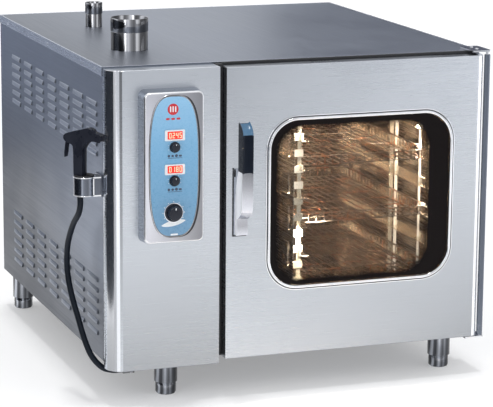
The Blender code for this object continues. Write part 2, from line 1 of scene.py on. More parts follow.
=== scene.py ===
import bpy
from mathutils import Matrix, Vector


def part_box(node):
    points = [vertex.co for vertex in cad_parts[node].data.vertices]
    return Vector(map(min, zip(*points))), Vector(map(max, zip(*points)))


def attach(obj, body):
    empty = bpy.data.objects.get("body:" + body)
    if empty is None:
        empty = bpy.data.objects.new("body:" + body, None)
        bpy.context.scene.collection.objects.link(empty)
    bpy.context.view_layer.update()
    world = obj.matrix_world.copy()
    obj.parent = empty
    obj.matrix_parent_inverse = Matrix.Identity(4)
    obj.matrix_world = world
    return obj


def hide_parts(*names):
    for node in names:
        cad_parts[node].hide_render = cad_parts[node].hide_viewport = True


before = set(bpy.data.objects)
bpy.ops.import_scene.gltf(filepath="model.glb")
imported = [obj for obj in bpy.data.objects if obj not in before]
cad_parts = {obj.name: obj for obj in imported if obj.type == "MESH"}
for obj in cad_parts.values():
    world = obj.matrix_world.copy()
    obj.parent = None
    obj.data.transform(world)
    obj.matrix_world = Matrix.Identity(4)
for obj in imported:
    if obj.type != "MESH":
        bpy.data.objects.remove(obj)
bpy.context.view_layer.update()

import math

import bmesh
import bpy
from mathutils import Matrix, Vector

# Lengths below are millimetres from the cabinet's front-left corner: x to the right, y into the depth, z up
# from the cabinet's underside.
MM = 0.001
ORIGIN = Vector(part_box("control_fascia")[0]) + Vector((0, 0, 15.6 * MM))


def at(x, y, z):
    return ORIGIN + Vector((x, y, z)) * MM


def span(node, axis):
    """A node's extent along one axis, in the same millimetres."""
    low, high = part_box(node)
    return (low[axis] - ORIGIN[axis]) / MM, (high[axis] - ORIGIN[axis]) / MM


def put_in_scene(name, data):
    made = bpy.data.objects.new(name, data)
    bpy.context.scene.collection.objects.link(made)
    return made


# ---------------------------------------------------------------- camera

YAW, PITCH, ROLL = math.radians(20), math.radians(12.12), math.radians(0.444)
forward = Vector((math.sin(YAW) * math.cos(PITCH), math.cos(YAW) * math.cos(PITCH), -math.sin(PITCH)))
level = Vector((math.cos(YAW), -math.sin(YAW), 0))
upward = level.cross(forward)
right = level * math.cos(ROLL) + upward * math.sin(ROLL)
top = upward * math.cos(ROLL) - level * math.sin(ROLL)
camera = put_in_scene("camera", bpy.data.cameras.new("camera"))
camera.data.sensor_width = 36
camera.data.lens = 165.57079
camera.data.clip_end = 100
eye = at(-1425, -4826, 1466)
camera.matrix_world = Matrix(((*right, 0), (*top, 0), (*-forward, 0), (*eye, 1))).transposed()
bpy.context.scene.camera = camera

# ---------------------------------------------------------------- materials


class Graph:
    """Node tree of one material, with short calls for the nodes used here."""

    def __init__(self, name):
        self.material = bpy.data.materials.new(name)
        self.material.use_nodes = True
        self.tree = self.material.node_tree
        self.shader = self.tree.nodes["Principled BSDF"]
        self.coords = self.node("TexCoord")

    def node(self, kind, **settings):
        made = self.tree.nodes.new("ShaderNode" + kind)
        for key, value in settings.items():
            setattr(made, key, value)
        return made

    def feed(self, socket, value):
        """Link a socket to another node's output, or set it to a number or a colour."""
        if hasattr(value, "is_output"):
            self.tree.links.new(value, socket)
        elif isinstance(value, tuple):
            socket.default_value = (*value, 1)
        else:
            socket.default_value = value

    def put(self, name, value):
        self.feed(self.shader.inputs[name], value)

    def metal(self, tone, roughness):
        self.put("Base Color", tone)
        self.put("Metallic", 1)
        self.put("Roughness", roughness)

    def noise(self, scale, stretch=(1, 1, 1), detail=3, rough=0.5):
        mapping = self.node("Mapping")
        mapping.inputs["Scale"].default_value = stretch
        self.feed(mapping.inputs["Vector"], self.coords.outputs["Object"])
        node = self.node("TexNoise")
        self.feed(node.inputs["Vector"], mapping.outputs["Vector"])
        self.feed(node.inputs["Scale"], scale)
        self.feed(node.inputs["Detail"], detail)
        self.feed(node.inputs["Roughness"], rough)
        return node.outputs["Fac"]

    def scaled(self, source, low, high, a=0.3, b=0.7):
        """Map a..b of a source to low..high."""
        node = self.node("MapRange")
        for socket, value in zip(node.inputs, (source, a, b, low, high)):
            self.feed(socket, value)
        return node.outputs["Result"]

    def ramp(self, source, stops):
        node = self.node("ValToRGB")
        elements = node.color_ramp.elements
        while len(elements) < len(stops):
            elements.new(0.5)
        for element, (share, color) in zip(elements, stops):
            element.position = share
            element.color = (*color, 1)
        self.feed(node.inputs["Fac"], source)
        return node.outputs["Color"]

    def mix(self, factor, a, b, blend="MIX"):
        node = self.node("Mix", data_type="RGBA", blend_type=blend)
        for index, value in ((0, factor), (6, a), (7, b)):
            self.feed(node.inputs[index], value)
        return node.outputs[2]

    def times(self, a, b):
        return self.mix(1, a, b, "MULTIPLY")

    def add(self, a, b):
        node = self.node("Math", operation="ADD")
        self.feed(node.inputs[0], a)
        self.feed(node.inputs[1], b)
        return node.outputs[0]

    def axis(self, index):
        node = self.node("SeparateXYZ")
        self.feed(node.inputs[0], self.coords.outputs["Object"])
        return node.outputs[index]

    def facing(self, direction):
        """How far the surface turns towards a direction, from 0 (away) to 1 (towards)."""
        node = self.node("VectorMath", operation="DOT_PRODUCT")
        node.inputs[1].default_value = direction
        self.feed(node.inputs[0], self.coords.outputs["Normal"])
        return self.scaled(node.outputs["Value"], 0, 1, -1, 1)

    def bump(self, height, strength, distance):
        node = self.node("Bump")
        self.feed(node.inputs["Strength"], strength)
        self.feed(node.inputs["Distance"], distance)
        self.feed(node.inputs["Height"], height)
        self.put("Normal", node.outputs["Normal"])


def dimmed(color, share):
    return tuple(c * share for c in color)


def painted_height_shade(g, painted_tones):
    """Painted shade: a grey that runs over the cabinet's height; painted_tones are (share of the height,
    tone).
    """
    height = g.scaled(g.axis(2), 0, 1, at(0, 0, 0).z, at(0, 0, 690).z)
    return g.ramp(height, [(share, (tone, tone, tone)) for share, tone in painted_tones])


def steel(
    name, color, roughness, stretch, grain=0.10, smudge=0.04, wear=0.03, painted_tones=None, far=None, across=None
):
    """Brushed sheet: streaks along the grain, broad handling marks, and painted shade, a slow change of tone
    with height.

    far is a second run of painted shade, reached at the far end of across = (axis, start, end).
    """
    g = Graph(name)
    streak = g.noise(6, stretch, 4, 0.65)
    fine = g.noise(38, stretch, 2)
    broad = g.noise(2.2, rough=0.55)
    tone = g.mix(g.scaled(broad, 0, 1), dimmed(color, 1 - wear * 2), color)
    tone = g.mix(g.scaled(streak, 0, 0.22), tone, dimmed(color, 0.86))
    tone = g.mix(g.scaled(fine, 0, 0.10), tone, dimmed(color, 0.7))
    # Painted shade: the sheet darkens or lightens with height, and across it when far is given.
    if painted_tones:
        shading = painted_height_shade(g, painted_tones)
        if far:
            index, start, end = across
            share = g.scaled(g.axis(index), 0, 1, ORIGIN[index] + start * MM, ORIGIN[index] + end * MM)
            shading = g.mix(share, shading, painted_height_shade(g, far))
        tone = g.times(tone, shading)
    base = g.scaled(streak, roughness - grain * 0.5, roughness + grain * 0.5)
    g.metal(tone, g.add(base, g.scaled(broad, -smudge, smudge)))
    g.bump(fine, 0.03, 0.0003)
    return g.material


def polished(name, color, roughness, painted_bands=None):
    """Bright metal; painted_bands are painted reflections: the light and dark stripes a studio leaves down an
    upright tube.
    """
    g = Graph(name)
    smear = g.noise(9, (1, 1, 0.35), 4, 0.6)
    fine = g.noise(260, (1, 1, 0.12), 2)
    tone = g.mix(g.scaled(smear, 0, 1), color, dimmed(color, 0.9))
    # Painted reflection: stripes set by how far the surface faces the cabinet's x axis.
    if painted_bands:
        tone = g.times(tone, g.ramp(g.facing((1, 0, 0)), [(share, (t, t, t * 1.02)) for share, t in painted_bands]))
    g.metal(tone, g.add(g.scaled(smear, roughness * 0.7, roughness * 1.6), g.scaled(fine, 0, 0.03)))
    g.bump(fine, 0.02, 0.0002)
    return g.material


def heat_tinted(name, color, tint):
    """Oven steel with straw and bronze patches burnt on by use."""
    g = Graph(name)
    patch = g.scaled(g.noise(26, detail=4, rough=0.6), 0, 1, 0.50, 0.60)
    grain = g.noise(300, (0.2, 1, 1), 2)
    g.metal(g.mix(patch, color, tint), g.scaled(grain, 0.24, 0.36))
    return g.material


def corner_steel(name, painted_tones=None, rough=(0.10, 0.20)):
    """Polished bends of the front sheets; painted_tones are painted shade over the height."""
    g = Graph(name)
    color = (0.84, 0.86, 0.90)
    smear = g.noise(5, (1, 1, 0.2), 3, 0.6)
    tone = g.mix(g.scaled(smear, 0, 0.5), color, dimmed(color, 0.83))
    if painted_tones:
        tone = g.times(tone, painted_height_shade(g, painted_tones))
    g.metal(tone, g.scaled(smear, *rough))
    return g.material


def plastic(name, color, roughness, texture=900, depth=0.12, shine=0.5):
    g = Graph(name)
    grain = g.noise(texture, (1, 1, 1), 2)
    patch = g.noise(25, (1, 1, 1), 3, 0.6)
    g.put("Base Color", g.mix(g.scaled(patch, 0, 1), color, tuple(c * 1.5 + 0.002 for c in color)))
    g.put("Roughness", g.scaled(patch, roughness * 0.8, roughness * 1.25))
    g.put("Specular IOR Level", shine)
    g.bump(grain, depth, 0.0002)
    return g.material


def plain(name, color, roughness=0.5, metallic=0, glow=0, shine=0.5):
    g = Graph(name)
    speck = g.noise(300)
    g.put("Base Color", g.mix(g.scaled(speck, 0, 1), color, dimmed(color, 0.88)))
    g.put("Metallic", metallic)
    g.put("Roughness", g.scaled(speck, roughness * 0.9, roughness * 1.1))
    g.put("Specular IOR Level", shine)
    if glow:
        g.put("Emission Color", color)
        g.put("Emission Strength", glow)
    return g.material


def panel_blue():
    g = Graph("blue_panel")
    low, high = span("control_membrane", 2)
    height = g.scaled(g.axis(2), 0, 1, at(0, 0, low).z, at(0, 0, high).z)
    blues = [(0, (0.115, 0.27, 0.44)), (0.3, (0.12, 0.32, 0.52))]
    blues += [(0.6, (0.155, 0.39, 0.62)), (1, (0.26, 0.52, 0.76))]
    speck = g.noise(420)
    g.put("Base Color", g.mix(g.scaled(speck, 0, 0.15), g.ramp(height, blues), (0.5, 0.7, 0.9)))
    g.put("Roughness", g.scaled(speck, 0.26, 0.34))
    g.put("Coat Weight", 0.4)
    g.put("Coat Roughness", 0.12)
    g.bump(speck, 0.04, 0.0002)
    return g.material


def window_glass(name, tint, alpha):
    g = Graph(name)
    smear = g.noise(7, (1, 1, 0.4), 4, 0.6)
    g.put("Base Color", tint)
    g.put("Roughness", g.scaled(smear, 0.03, 0.09))
    g.put("Alpha", alpha)
    g.put("Specular IOR Level", 0.28)
    g.put("IOR", 1.5)
    return g.material


# Painted shade: tones are (share of the cabinet's height, tone); painted reflections: bands are (share of the
# turn from left to right, tone).
FASCIA_PAINTED_SHADE = [(0, 0.48), (0.10, 0.55), (0.26, 0.64), (0.45, 0.76), (0.68, 0.85), (0.85, 0.80), (1, 0.73)]
DOOR_PAINTED_SHADE_HINGE = [(0, 0.46), (0.05, 0.5), (0.25, 0.61), (0.47, 0.72), (0.75, 0.87), (0.92, 0.96), (1, 0.96)]
DOOR_PAINTED_SHADE_HANDLE = [(0, 0.70), (0.09, 0.715), (0.36, 0.70), (0.65, 0.69), (0.92, 0.66), (1, 0.65)]
SIDE_PAINTED_SHADE_FRONT = [(0, 0.36), (0.19, 0.44), (0.36, 0.92), (0.7, 0.92), (1, 0.97)]
SIDE_PAINTED_SHADE_REAR = [(0, 0.20), (0.2, 0.22), (0.44, 0.32), (0.8, 0.85), (1, 0.97)]
POD_FACE_PAINTED_SHADE = [(0.40, 0.80), (0.6, 1), (0.8, 1), (0.95, 0.86)]
POD_FACE_PAINTED_SHADE_FAR = [(0.40, 0.36), (0.6, 0.44), (0.8, 0.46), (0.95, 0.40)]
LEVER_PAINTED_SHADE = [(0.42, 0.95), (0.455, 0.55), (0.48, 0.62), (0.5, 1), (0.55, 0.8), (0.6, 0.5), (0.645, 0.36)]
# Painted reflection stripes for upright tubes and for the shower holder.
TUBE_PAINTED_REFLECTIONS = [
    (0, 0.10), (0.025, 0.14), (0.05, 0.85), (0.09, 0.95), (0.13, 0.20), (0.20, 0.12), (0.27, 0.55),
    (0.33, 0.92), (0.40, 0.36), (0.48, 0.18), (0.56, 0.48), (0.65, 0.16), (0.77, 0.08), (1, 0.20),
]
HOLDER_PAINTED_REFLECTIONS = [(0, 0.4), (0.08, 0.5), (0.20, 1), (0.33, 0.40), (0.53, 0.28), (0.72, 0.7), (1, 0.35)]
BRIGHT_SHEET = (0.86, 0.90, 0.955)
UPRIGHT_GRAIN = (1, 1, 90)
SIDE_GRAIN = (1, 0.6, 60)
CAVITY_GRAIN = (1, 0.7, 40)

# Front sheets: painted shade over the height; on the door it also changes from the handle side to the hinge
# side.
FRONT_STEEL = steel("front_steel", BRIGHT_SHEET, 0.30, UPRIGHT_GRAIN, painted_tones=FASCIA_PAINTED_SHADE)
DOOR_STEEL = steel(
    "door_steel", BRIGHT_SHEET, 0.30, UPRIGHT_GRAIN,
    painted_tones=DOOR_PAINTED_SHADE_HANDLE, far=DOOR_PAINTED_SHADE_HINGE, across=(0, 281, 936),
)
FRAME_STEEL = steel("frame_steel", (0.62, 0.65, 0.69), 0.30, UPRIGHT_GRAIN)
# Side sheets: painted shade, darker low down and more so towards the rear.
SIDE_STEEL = steel(
    "side_steel", (0.385, 0.43, 0.525), 0.40, SIDE_GRAIN, smudge=0.06,
    painted_tones=SIDE_PAINTED_SHADE_FRONT, far=SIDE_PAINTED_SHADE_REAR, across=(1, 50, 700),
)
# Louvre hoods: a lighter steel for the upper group, painted light, and a darker one for the lower group,
# painted shade.
HOOD_UPPER_PAINTED_LIGHT = steel("hood_steel", (0.56, 0.60, 0.68), 0.34, SIDE_GRAIN)
HOOD_LOWER_PAINTED_SHADE = steel("hood_low_steel", (0.27, 0.30, 0.36), 0.40, SIDE_GRAIN)
# Top plate: painted shade, darker at its left edge and lighter from 300 mm across onward.
TOP_STEEL = steel(
    "top_steel", (0.48, 0.52, 0.595), 0.36, (70, 0.8, 1),
    painted_tones=[(0, 0.58), (1, 0.58)], far=[(0, 0.9), (1, 0.9)], across=(0, 0, 300),
)
EDGE_STEEL = steel("flange_steel", (0.80, 0.84, 0.92), 0.28, (1, 1, 60))
# Dark steel for the top rim's front face: painted shade.
FRONT_EDGE_PAINTED_SHADE = steel("front_edge_steel", (0.20, 0.22, 0.26), 0.30, (60, 1, 1))
STRIP_STEEL = steel("strip_steel", (0.62, 0.66, 0.72), 0.28, (1, 1, 60))
POD_WALL = steel("pod_wall_steel", (0.36, 0.39, 0.445), 0.26, (1, 1, 60))
# Pod face: painted shade, lightest part way up and darker towards its right.
POD_FACE = steel(
    "pod_face_steel", (0.84, 0.845, 0.90), 0.34, (1, 1, 70),
    painted_tones=POD_FACE_PAINTED_SHADE, far=POD_FACE_PAINTED_SHADE_FAR, across=(0, 84, 205),
)
# Lever: painted light and shade in bands up its height.
LEVER_STEEL = steel("lever_steel", (0.82, 0.83, 0.89), 0.24, (1, 1, 0.3), grain=0.06, painted_tones=LEVER_PAINTED_SHADE)
# Lever flank: a faint glow, a painted highlight.
LEVER_FLANK_GLOW = plain("lever_flank", (0.93, 0.94, 0.97), 0.30, 0.85, glow=0.30)
TRIM_STEEL = polished("trim_steel", (0.83, 0.84, 0.87), 0.16)
CHROME = polished("chrome", (0.86, 0.87, 0.89), 0.07)
# Chromes with painted reflections: banded light and dark stripes set by which way each face turns.
PIPE_CHROME = polished("pipe_chrome", (0.90, 0.91, 0.93), 0.12, TUBE_PAINTED_REFLECTIONS)
FOOT_CHROME = polished("foot_chrome", (0.62, 0.65, 0.70), 0.16, TUBE_PAINTED_REFLECTIONS)
HOLDER_STEEL = polished("holder_steel", (0.46, 0.50, 0.58), 0.14, HOLDER_PAINTED_REFLECTIONS)
HINGE_STEEL = polished("hinge_steel", (0.16, 0.18, 0.22), 0.30)
RIM_STEEL = polished("rim_steel", (0.95, 0.96, 0.98), 0.26)
HEATER = polished("heater_metal", (0.30, 0.24, 0.20), 0.3)
BRACKET = polished("bracket_steel", (0.74, 0.75, 0.78), 0.14)
CAVITY_STEEL = steel("cavity_steel", (0.74, 0.66, 0.54), 0.26, CAVITY_GRAIN, grain=0.14, wear=0.14)
LINER = steel("liner_steel", (0.46, 0.385, 0.31), 0.26, CAVITY_GRAIN, grain=0.16, wear=0.15)
RACK_STEEL = steel("rack_steel", (0.82, 0.76, 0.66), 0.20, (1, 1, 40))
# Glowing rack parts: painted light from the oven lamp.
RACK_PAINTED_LIGHT = plain("rack_bright", (0.80, 0.74, 0.60), 0.25, 0.7, glow=0.24)
RACK_PAINTED_LAMPLIGHT = plain("rack_lit", (0.95, 0.90, 0.78), 0.25, 0.5, glow=0.60)
TRAY_STEEL = heat_tinted("tray_steel", (0.29, 0.245, 0.20), (0.42, 0.17, 0.075))
BLACK = plastic("black_plastic", (0.012, 0.014, 0.022), 0.30, shine=0.32)
GRIP_BLACK = plastic("grip_black", (0.004, 0.007, 0.014), 0.24, depth=0.06, shine=0.10)
# Bluish plastic for the grip's upward slope: a painted reflection of light from above.
GRIP_TOP_PAINTED_REFLECTION = plastic("grip_top_blue", (0.055, 0.13, 0.22), 0.2, depth=0.04)
RUBBER = plastic("black_rubber", (0.013, 0.013, 0.015), 0.55, texture=500, depth=0.2)
HOSE_BLACK = plastic("hose_black", (0.004, 0.007, 0.013), 0.5, texture=500, depth=0.2, shine=0.22)
# Black for slots, holes and gaps: painted shade in openings.
HOLE_PAINTED_SHADE = plain("slot_black", (0.006, 0.007, 0.009), 0.8)
# Mid grey on the louvres' closed front ends: painted shade in their openings.
HOOD_SHADE = plain("hood_shade", (0.13, 0.145, 0.17), 0.7)
MARK_DARK = plain("mark_dark", (0.05, 0.07, 0.12))
MARK_WHITE = plain("mark_white", (0.85, 0.88, 0.90), 0.4)
MARK_RED = plain("mark_red", (0.62, 0.02, 0.03), 0.4)
LED_BACK = plain("led_window", (0.70, 0.035, 0.02), 0.25, glow=0.55)
LED_DIGIT = plain("led_digit", (1, 0.42, 0.28), 0.4, glow=1.3)
LENS = plain("lamp_lens", (1, 0.72, 0.36), 0.3, glow=2)
FRIT = plain("frit_black", (0.010, 0.008, 0.008), 0.35, shine=0.05)
# Round the column's bend, bands of their own stand for its reflections: a bright highlight, a painted shaded
# strip darker at the bottom, a painted mid strip, and a painted dark line that darkens upwards.
CORNER = corner_steel("corner_steel")
CORNER_SHADE = corner_steel("corner_shade_steel", [(0, 0.52), (0.12, 0.60), (0.25, 1), (1, 1)])
CORNER_PAINTED_MID_BAND = corner_steel("corner_mid_steel", [(0, 0.66), (0.3, 0.8), (1, 1)], rough=(0.42, 0.52))
CORNER_DARK_LINE_PAINTED_SHADE = [(0, 0.70), (0.2, 0.60), (0.5, 0.44), (1, 0.22)]
CORNER_PAINTED_DARK_LINE = steel("corner_line_steel", BRIGHT_SHEET, 0.30, UPRIGHT_GRAIN, painted_tones=CORNER_DARK_LINE_PAINTED_SHADE)
# The door's rounded bend has a faint glow: a painted highlight.
DOOR_BEND_GLOW = polished("door_bend_steel", (0.97, 0.975, 0.985), 0.22)
bend_shader = DOOR_BEND_GLOW.node_tree.nodes["Principled BSDF"].inputs
bend_shader["Emission Color"].default_value = (0.95, 0.96, 1, 1)
bend_shader["Emission Strength"].default_value = 0.12
PANEL_BLUE = panel_blue()
OUTER_GLASS = window_glass("outer_glass", (0.030, 0.022, 0.018), 0.20)
INNER_GLASS = window_glass("inner_glass", (0.05, 0.04, 0.03), 0.12)

# ---------------------------------------------------------------- mesh tools


def place(axis, u, v, along):
    return {"X": (along, u, v), "Y": (u, along, v), "Z": (u, v, along)}[axis]


def stack(axis, outline_at, steps):
    """Rings of points, one for each (size, place along the axis); outline_at gives the outline of a size."""
    return [[place(axis, u, v, along) for u, v in outline_at(size)] for size, along in steps]


def bridge(shape, lower, upper, material=0):
    """Faces between two rings of corners; a ring of one corner makes them triangles."""
    count = max(len(lower), len(upper))
    for i in range(count):
        j = (i + 1) % count
        corners = [lower[i % len(lower)], lower[j % len(lower)], upper[j % len(upper)], upper[i % len(upper)]]
        shape.faces.new(list(dict.fromkeys(corners))).material_index = material


def skin_rings(shape, rings, closed=False, cap=True, material=0):
    rows = [[shape.verts.new(point) for point in ring] for ring in rings]
    for lower, upper in zip(rows, rows[1:] + rows[:1] if closed else rows[1:]):
        bridge(shape, lower, upper, material)
    if cap and not closed:
        shape.faces.new(rows[0]).material_index = material
        shape.faces.new(rows[-1]).material_index = material
    return shape


def add_prism(shape, outline, axis, low, high, material=0):
    rings = [[place(axis, u, v, along) for u, v in outline] for along in (low, high)]
    return skin_rings(shape, rings, material=material)


def rectangle(x, y, inset=0):
    (x0, x1), (y0, y1) = ((side[0] + inset, side[1] - inset) for side in (x, y))
    return [(x0, y0), (x1, y0), (x1, y1), (x0, y1)]


def add_box(shape, x, y, z, material=0):
    return add_prism(shape, rectangle(x, y), "Z", *z, material)


def rounded(x, z, radius, steps=8, grow=0):
    """Rectangle with round corners, over x and z, with each side moved out by grow."""
    x, z = ((side[0] - grow, side[1] + grow) for side in (x, z))
    outline = []
    corners = (
        (x[1] - radius, z[0] + radius, -90),
        (x[1] - radius, z[1] - radius, 0),
        (x[0] + radius, z[1] - radius, 90),
        (x[0] + radius, z[0] + radius, 180),
    )
    for cx, cz, start in corners:
        for step in range(steps + 1):
            a = math.radians(start + 90 * step / steps)
            outline.append((cx + radius * math.cos(a), cz + radius * math.sin(a)))
    return outline


def circle(radius, steps, centre=(0, 0), phase=0):
    turns = [phase + 2 * math.pi * i / steps for i in range(steps)]
    return [(centre[0] + radius * math.cos(a), centre[1] + radius * math.sin(a)) for a in turns]


def pill(x, z):
    return rounded(x, z, min(x[1] - x[0], z[1] - z[0]) * 0.499, 6)


def spline_point(a, b, c, d, t):
    """Point between b and c on the smooth curve through four points."""
    return 0.5 * (2 * b + (c - a) * t + (2 * a - 5 * b + 4 * c - d) * t**2 + (3 * b - a - 3 * c + d) * t**3)


def smooth_outline(points, per_span=4):
    """Closed smooth outline; a point given twice stays a corner."""
    outline = []
    count = len(points)
    for i in range(count):
        a, b, c, d = (Vector(points[(i + k) % count]) for k in (-1, 0, 1, 2))
        if (b - c).length < 1e-6:
            continue
        if (a - b).length < 1e-6:
            a = b
        if (c - d).length < 1e-6:
            d = c
        outline += [tuple(spline_point(a, b, c, d, step / per_span)) for step in range(per_span)]
    return outline


def swell(outline, depth, edge, shape, to_point):
    """Pillow-sided extrusion of a side profile: full size in the middle, drawn in by edge at each flank."""
    rings = []
    for share, inset in ((-1, 1), (-0.86, 0.42), (-0.55, 0), (0.55, 0), (0.86, 0.42), (1, 1)):
        ring = []
        for i, (u, z) in enumerate(outline):
            before, after = outline[i - 1], outline[(i + 1) % len(outline)]
            normal = Vector((after[1] - before[1], before[0] - after[0])).normalized()
            ring.append(to_point(u - normal.x * edge * inset, depth * share, z - normal.y * edge * inset))
        rings.append(ring)
    return skin_rings(shape, rings)


def add_turned(shape, profile, axis, centre, steps=48, closed=False, flute=0, flutes=0):
    """Lathe round an axis through centre; flutes presses that many shallow grooves into it."""
    u0, v0, along0 = centre
    rings = []
    for radius, along in profile:
        ring = []
        for i in range(steps if radius else 1):
            a = 2 * math.pi * i / steps
            r = radius - flute * (0.5 - 0.5 * math.cos(a * flutes))
            ring.append(place(axis, u0 + r * math.cos(a), v0 + r * math.sin(a), along0 + along))
        rings.append(ring)
    return skin_rings(shape, rings, closed, cap=False)


def add_screw(shape, axis, sign, centre, radius=4, height=1.6):
    """Low domed head with a dished middle."""
    steps = ((0, 0), (1, 0), (1, 0.5), (0.7, 0.9), (0.35, 1), (0.3, 0.55), (0, 0.5))
    profile = [(radius * out, sign * up * height) for out, up in steps]
    return add_turned(shape, profile, axis, centre, 16)


def mark_faces(shape, chosen, material=1):
    """Give a material to the faces that chosen(middle, number of corners) picks."""
    for face in shape.faces:
        if chosen(face.calc_center_median(), len(face.verts)):
            face.material_index = material


def to_mesh(name, shape):
    """Mesh in the frame's metres from a bmesh in cabinet millimetres."""
    bmesh.ops.recalc_face_normals(shape, faces=shape.faces[:])
    for vertex in shape.verts:
        vertex.co = ORIGIN + vertex.co * MM
    mesh = bpy.data.meshes.new(name)
    shape.to_mesh(mesh)
    shape.free()
    return mesh


def add_bevel(piece, width, segments, angle):
    soften = piece.modifiers.new("bevel", "BEVEL")
    soften.width = width * MM
    soften.segments = segments
    soften.limit_method = "ANGLE"
    soften.angle_limit = math.radians(angle)
    return soften


def finish(name, shape, skin, replaces=None, body="cabinet", bevel=0, segments=3, angle=38):
    """Turn a bmesh into a piece that rides on a body."""
    mesh = to_mesh(name, shape)
    for one in skin if isinstance(skin, list) else [skin]:
        mesh.materials.append(one)
    mesh.polygons.foreach_set("use_smooth", [True] * len(mesh.polygons))
    made = put_in_scene(name, mesh)
    if bevel:
        add_bevel(made, bevel, segments, 32).harden_normals = True
    else:
        mesh.set_sharp_from_angle(angle=math.radians(angle))
    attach(made, body)
    if replaces:
        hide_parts(replaces)
    return made


def finish_turned(
    name, profile, centre, skin, replaces=None, body="cabinet", axis="Z", steps=64, closed=True, angle=40
):
    """A piece that is one turned profile."""
    shape = add_turned(bmesh.new(), profile, axis, centre, steps, closed)
    return finish(name, shape, skin, replaces, body, angle=angle)


def carve(piece, cutters):
    """Boolean cuts in cabinet millimetres, applied to the mesh at once."""
    for outline, axis, low, high in cutters:
        cutter = put_in_scene("cutter", to_mesh("cutter", add_prism(bmesh.new(), outline, axis, low, high)))
        others = [(m, m.show_viewport) for m in piece.modifiers]
        for modifier, _ in others:
            modifier.show_viewport = False
        change = piece.modifiers.new("cut", "BOOLEAN")
        change.operation = "DIFFERENCE"
        change.solver = "EXACT"
        change.object = cutter
        bpy.context.view_layer.update()
        result = bpy.data.meshes.new_from_object(piece.evaluated_get(bpy.context.evaluated_depsgraph_get()))
        piece.modifiers.remove(change)
        for modifier, shown in others:
            modifier.show_viewport = shown
        old = piece.data
        piece.data = result
        bpy.data.meshes.remove(old)
        old = cutter.data
        bpy.data.objects.remove(cutter)
        bpy.data.meshes.remove(old)
    piece.data.polygons.foreach_set("use_smooth", [True] * len(piece.data.polygons))

# ---------------------------------------------------------------- hose and hand shower

route = [
    (-46, 76, 380),
    (-46, 78, 366),
    (-46, 92, 345),
    (-47, 136, 310),
    (-47, 178, 262),
    (-46, 196, 218),
    (-45, 191, 172),
    (-42, 166, 128),
    (-37, 132, 84),
    (-32, 98, 42),
    (-22, 73, 8),
    (0, 64.5, -18),
    (24, 64, -27),
    (40, 64, -28),
]
padded = [Vector(point) for point in route[:1] + route + route[-1:]]
# The line starts inside the hand shower's handle and ends inside the union under the base.
line = [Vector((-46, 76, 432)), Vector((-46, 76, 390))]
for four in zip(padded, padded[1:], padded[2:], padded[3:]):
    line += [spline_point(*four, step / 6) for step in range(6)]
line += [padded[-1], Vector((50, 64, -28))]
curve = bpy.data.curves.new("hose", "CURVE")
curve.dimensions = "3D"
curve.bevel_depth = 1
curve.bevel_resolution = 6
curve.use_fill_caps = True
spline = curve.splines.new("POLY")
spline.points.add(len(line) - 1)
for point, co in zip(spline.points, reversed(line)):
    point.co = (*(ORIGIN + co * MM), 1)
    point.radius = 6.95 * MM
curve.materials.append(HOSE_BLACK)
hose = put_in_scene("hose", curve)
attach(hose, "cabinet")
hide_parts("shower_hose")

GUN_X, GUN_Y = -46, 76
gun_turn = math.radians(-50)
GUN_U = Vector((math.cos(gun_turn), math.sin(gun_turn), 0))
GUN_V = Vector((-math.sin(gun_turn), math.cos(gun_turn), 0))


def gun_point(u, v, z):
    return Vector((GUN_X, GUN_Y, 0)) + GUN_U * u + GUN_V * v + Vector((0, 0, z))


gun_profile = smooth_outline(
    [
        (-9, 440), (-9, 440), (-9.2, 470), (-9.8, 499), (-14, 511.5), (-31, 517.5), (-36.6, 525),
        (-29, 532.5), (3, 541.5), (23, 547.5), (34, 546), (41, 539.5), (59.5, 535.5), (59.5, 535.5),
        (59.5, 523), (59.5, 523), (44, 525), (31, 523), (19, 516), (11, 504), (9.6, 492), (9.2, 470),
        (9, 440), (9, 440),
    ]
)
tail_profile = [
    (0, 391), (8.2, 391), (8.9, 393), (8.9, 402), (8.2, 404), (8.2, 408), (8.9, 410), (8.9, 437), (9.8, 441),
    (9.8, 447), (0, 450),
]
shape = swell(gun_profile, 9.4, 3, bmesh.new(), gun_point)
add_turned(shape, tail_profile, "Z", (GUN_X, GUN_Y, 0), 40, flute=0.5, flutes=10)
gun = finish("hand_shower", shape, BLACK, "shower_gun", angle=50)

rings = []
for radius, along in ((0, 44), (7.4, 44), (8, 46), (8, 58), (7, 59.6), (5.6, 59.6), (5.2, 57), (0, 57)):
    oval = circle(radius, 28 if radius else 1)
    rings.append([gun_point(along, 1.12 * v, 529.5 + 0.92 * z) for v, z in oval])
shape = skin_rings(bmesh.new(), rings, cap=False)
nozzle = finish("hand_shower_nozzle", shape, RUBBER, angle=40)


def trigger_point(u, v, z):
    return gun_point(-33 + u, v, 509 + z)


trigger_profile = smooth_outline(
    [(-2, 9), (-4.6, -4), (-6.2, -18), (-6.4, -29.4), (-4.4, -30), (-2, -18), (0, -4), (2, 9)]
)
shape = swell(trigger_profile, 6.9, 0.9, bmesh.new(), trigger_point)
trigger = finish("hand_shower_trigger", shape, BLACK, "shower_trigger", "trigger", angle=50)

# ---------------------------------------------------------------- cabinet sheets


def pan_rings(x, y, z, opening, wall=1.5):
    """Rings of a sheet pan: a box with one open side, such as "+X"."""
    sides = [x, y, z]
    index = "XYZ".index(opening[1])
    shut, end = sides.pop(index)[:: 1 if opening[0] == "+" else -1]
    floor = shut + (wall if opening[0] == "+" else -wall)
    rings = []
    for inset, along in ((0, shut), (0, end), (wall, end), (wall, floor)):
        corners = [list(corner) for corner in rectangle(*sides, inset)]
        for corner in corners:
            corner.insert(index, along)
        rings.append(corners)
    return rings


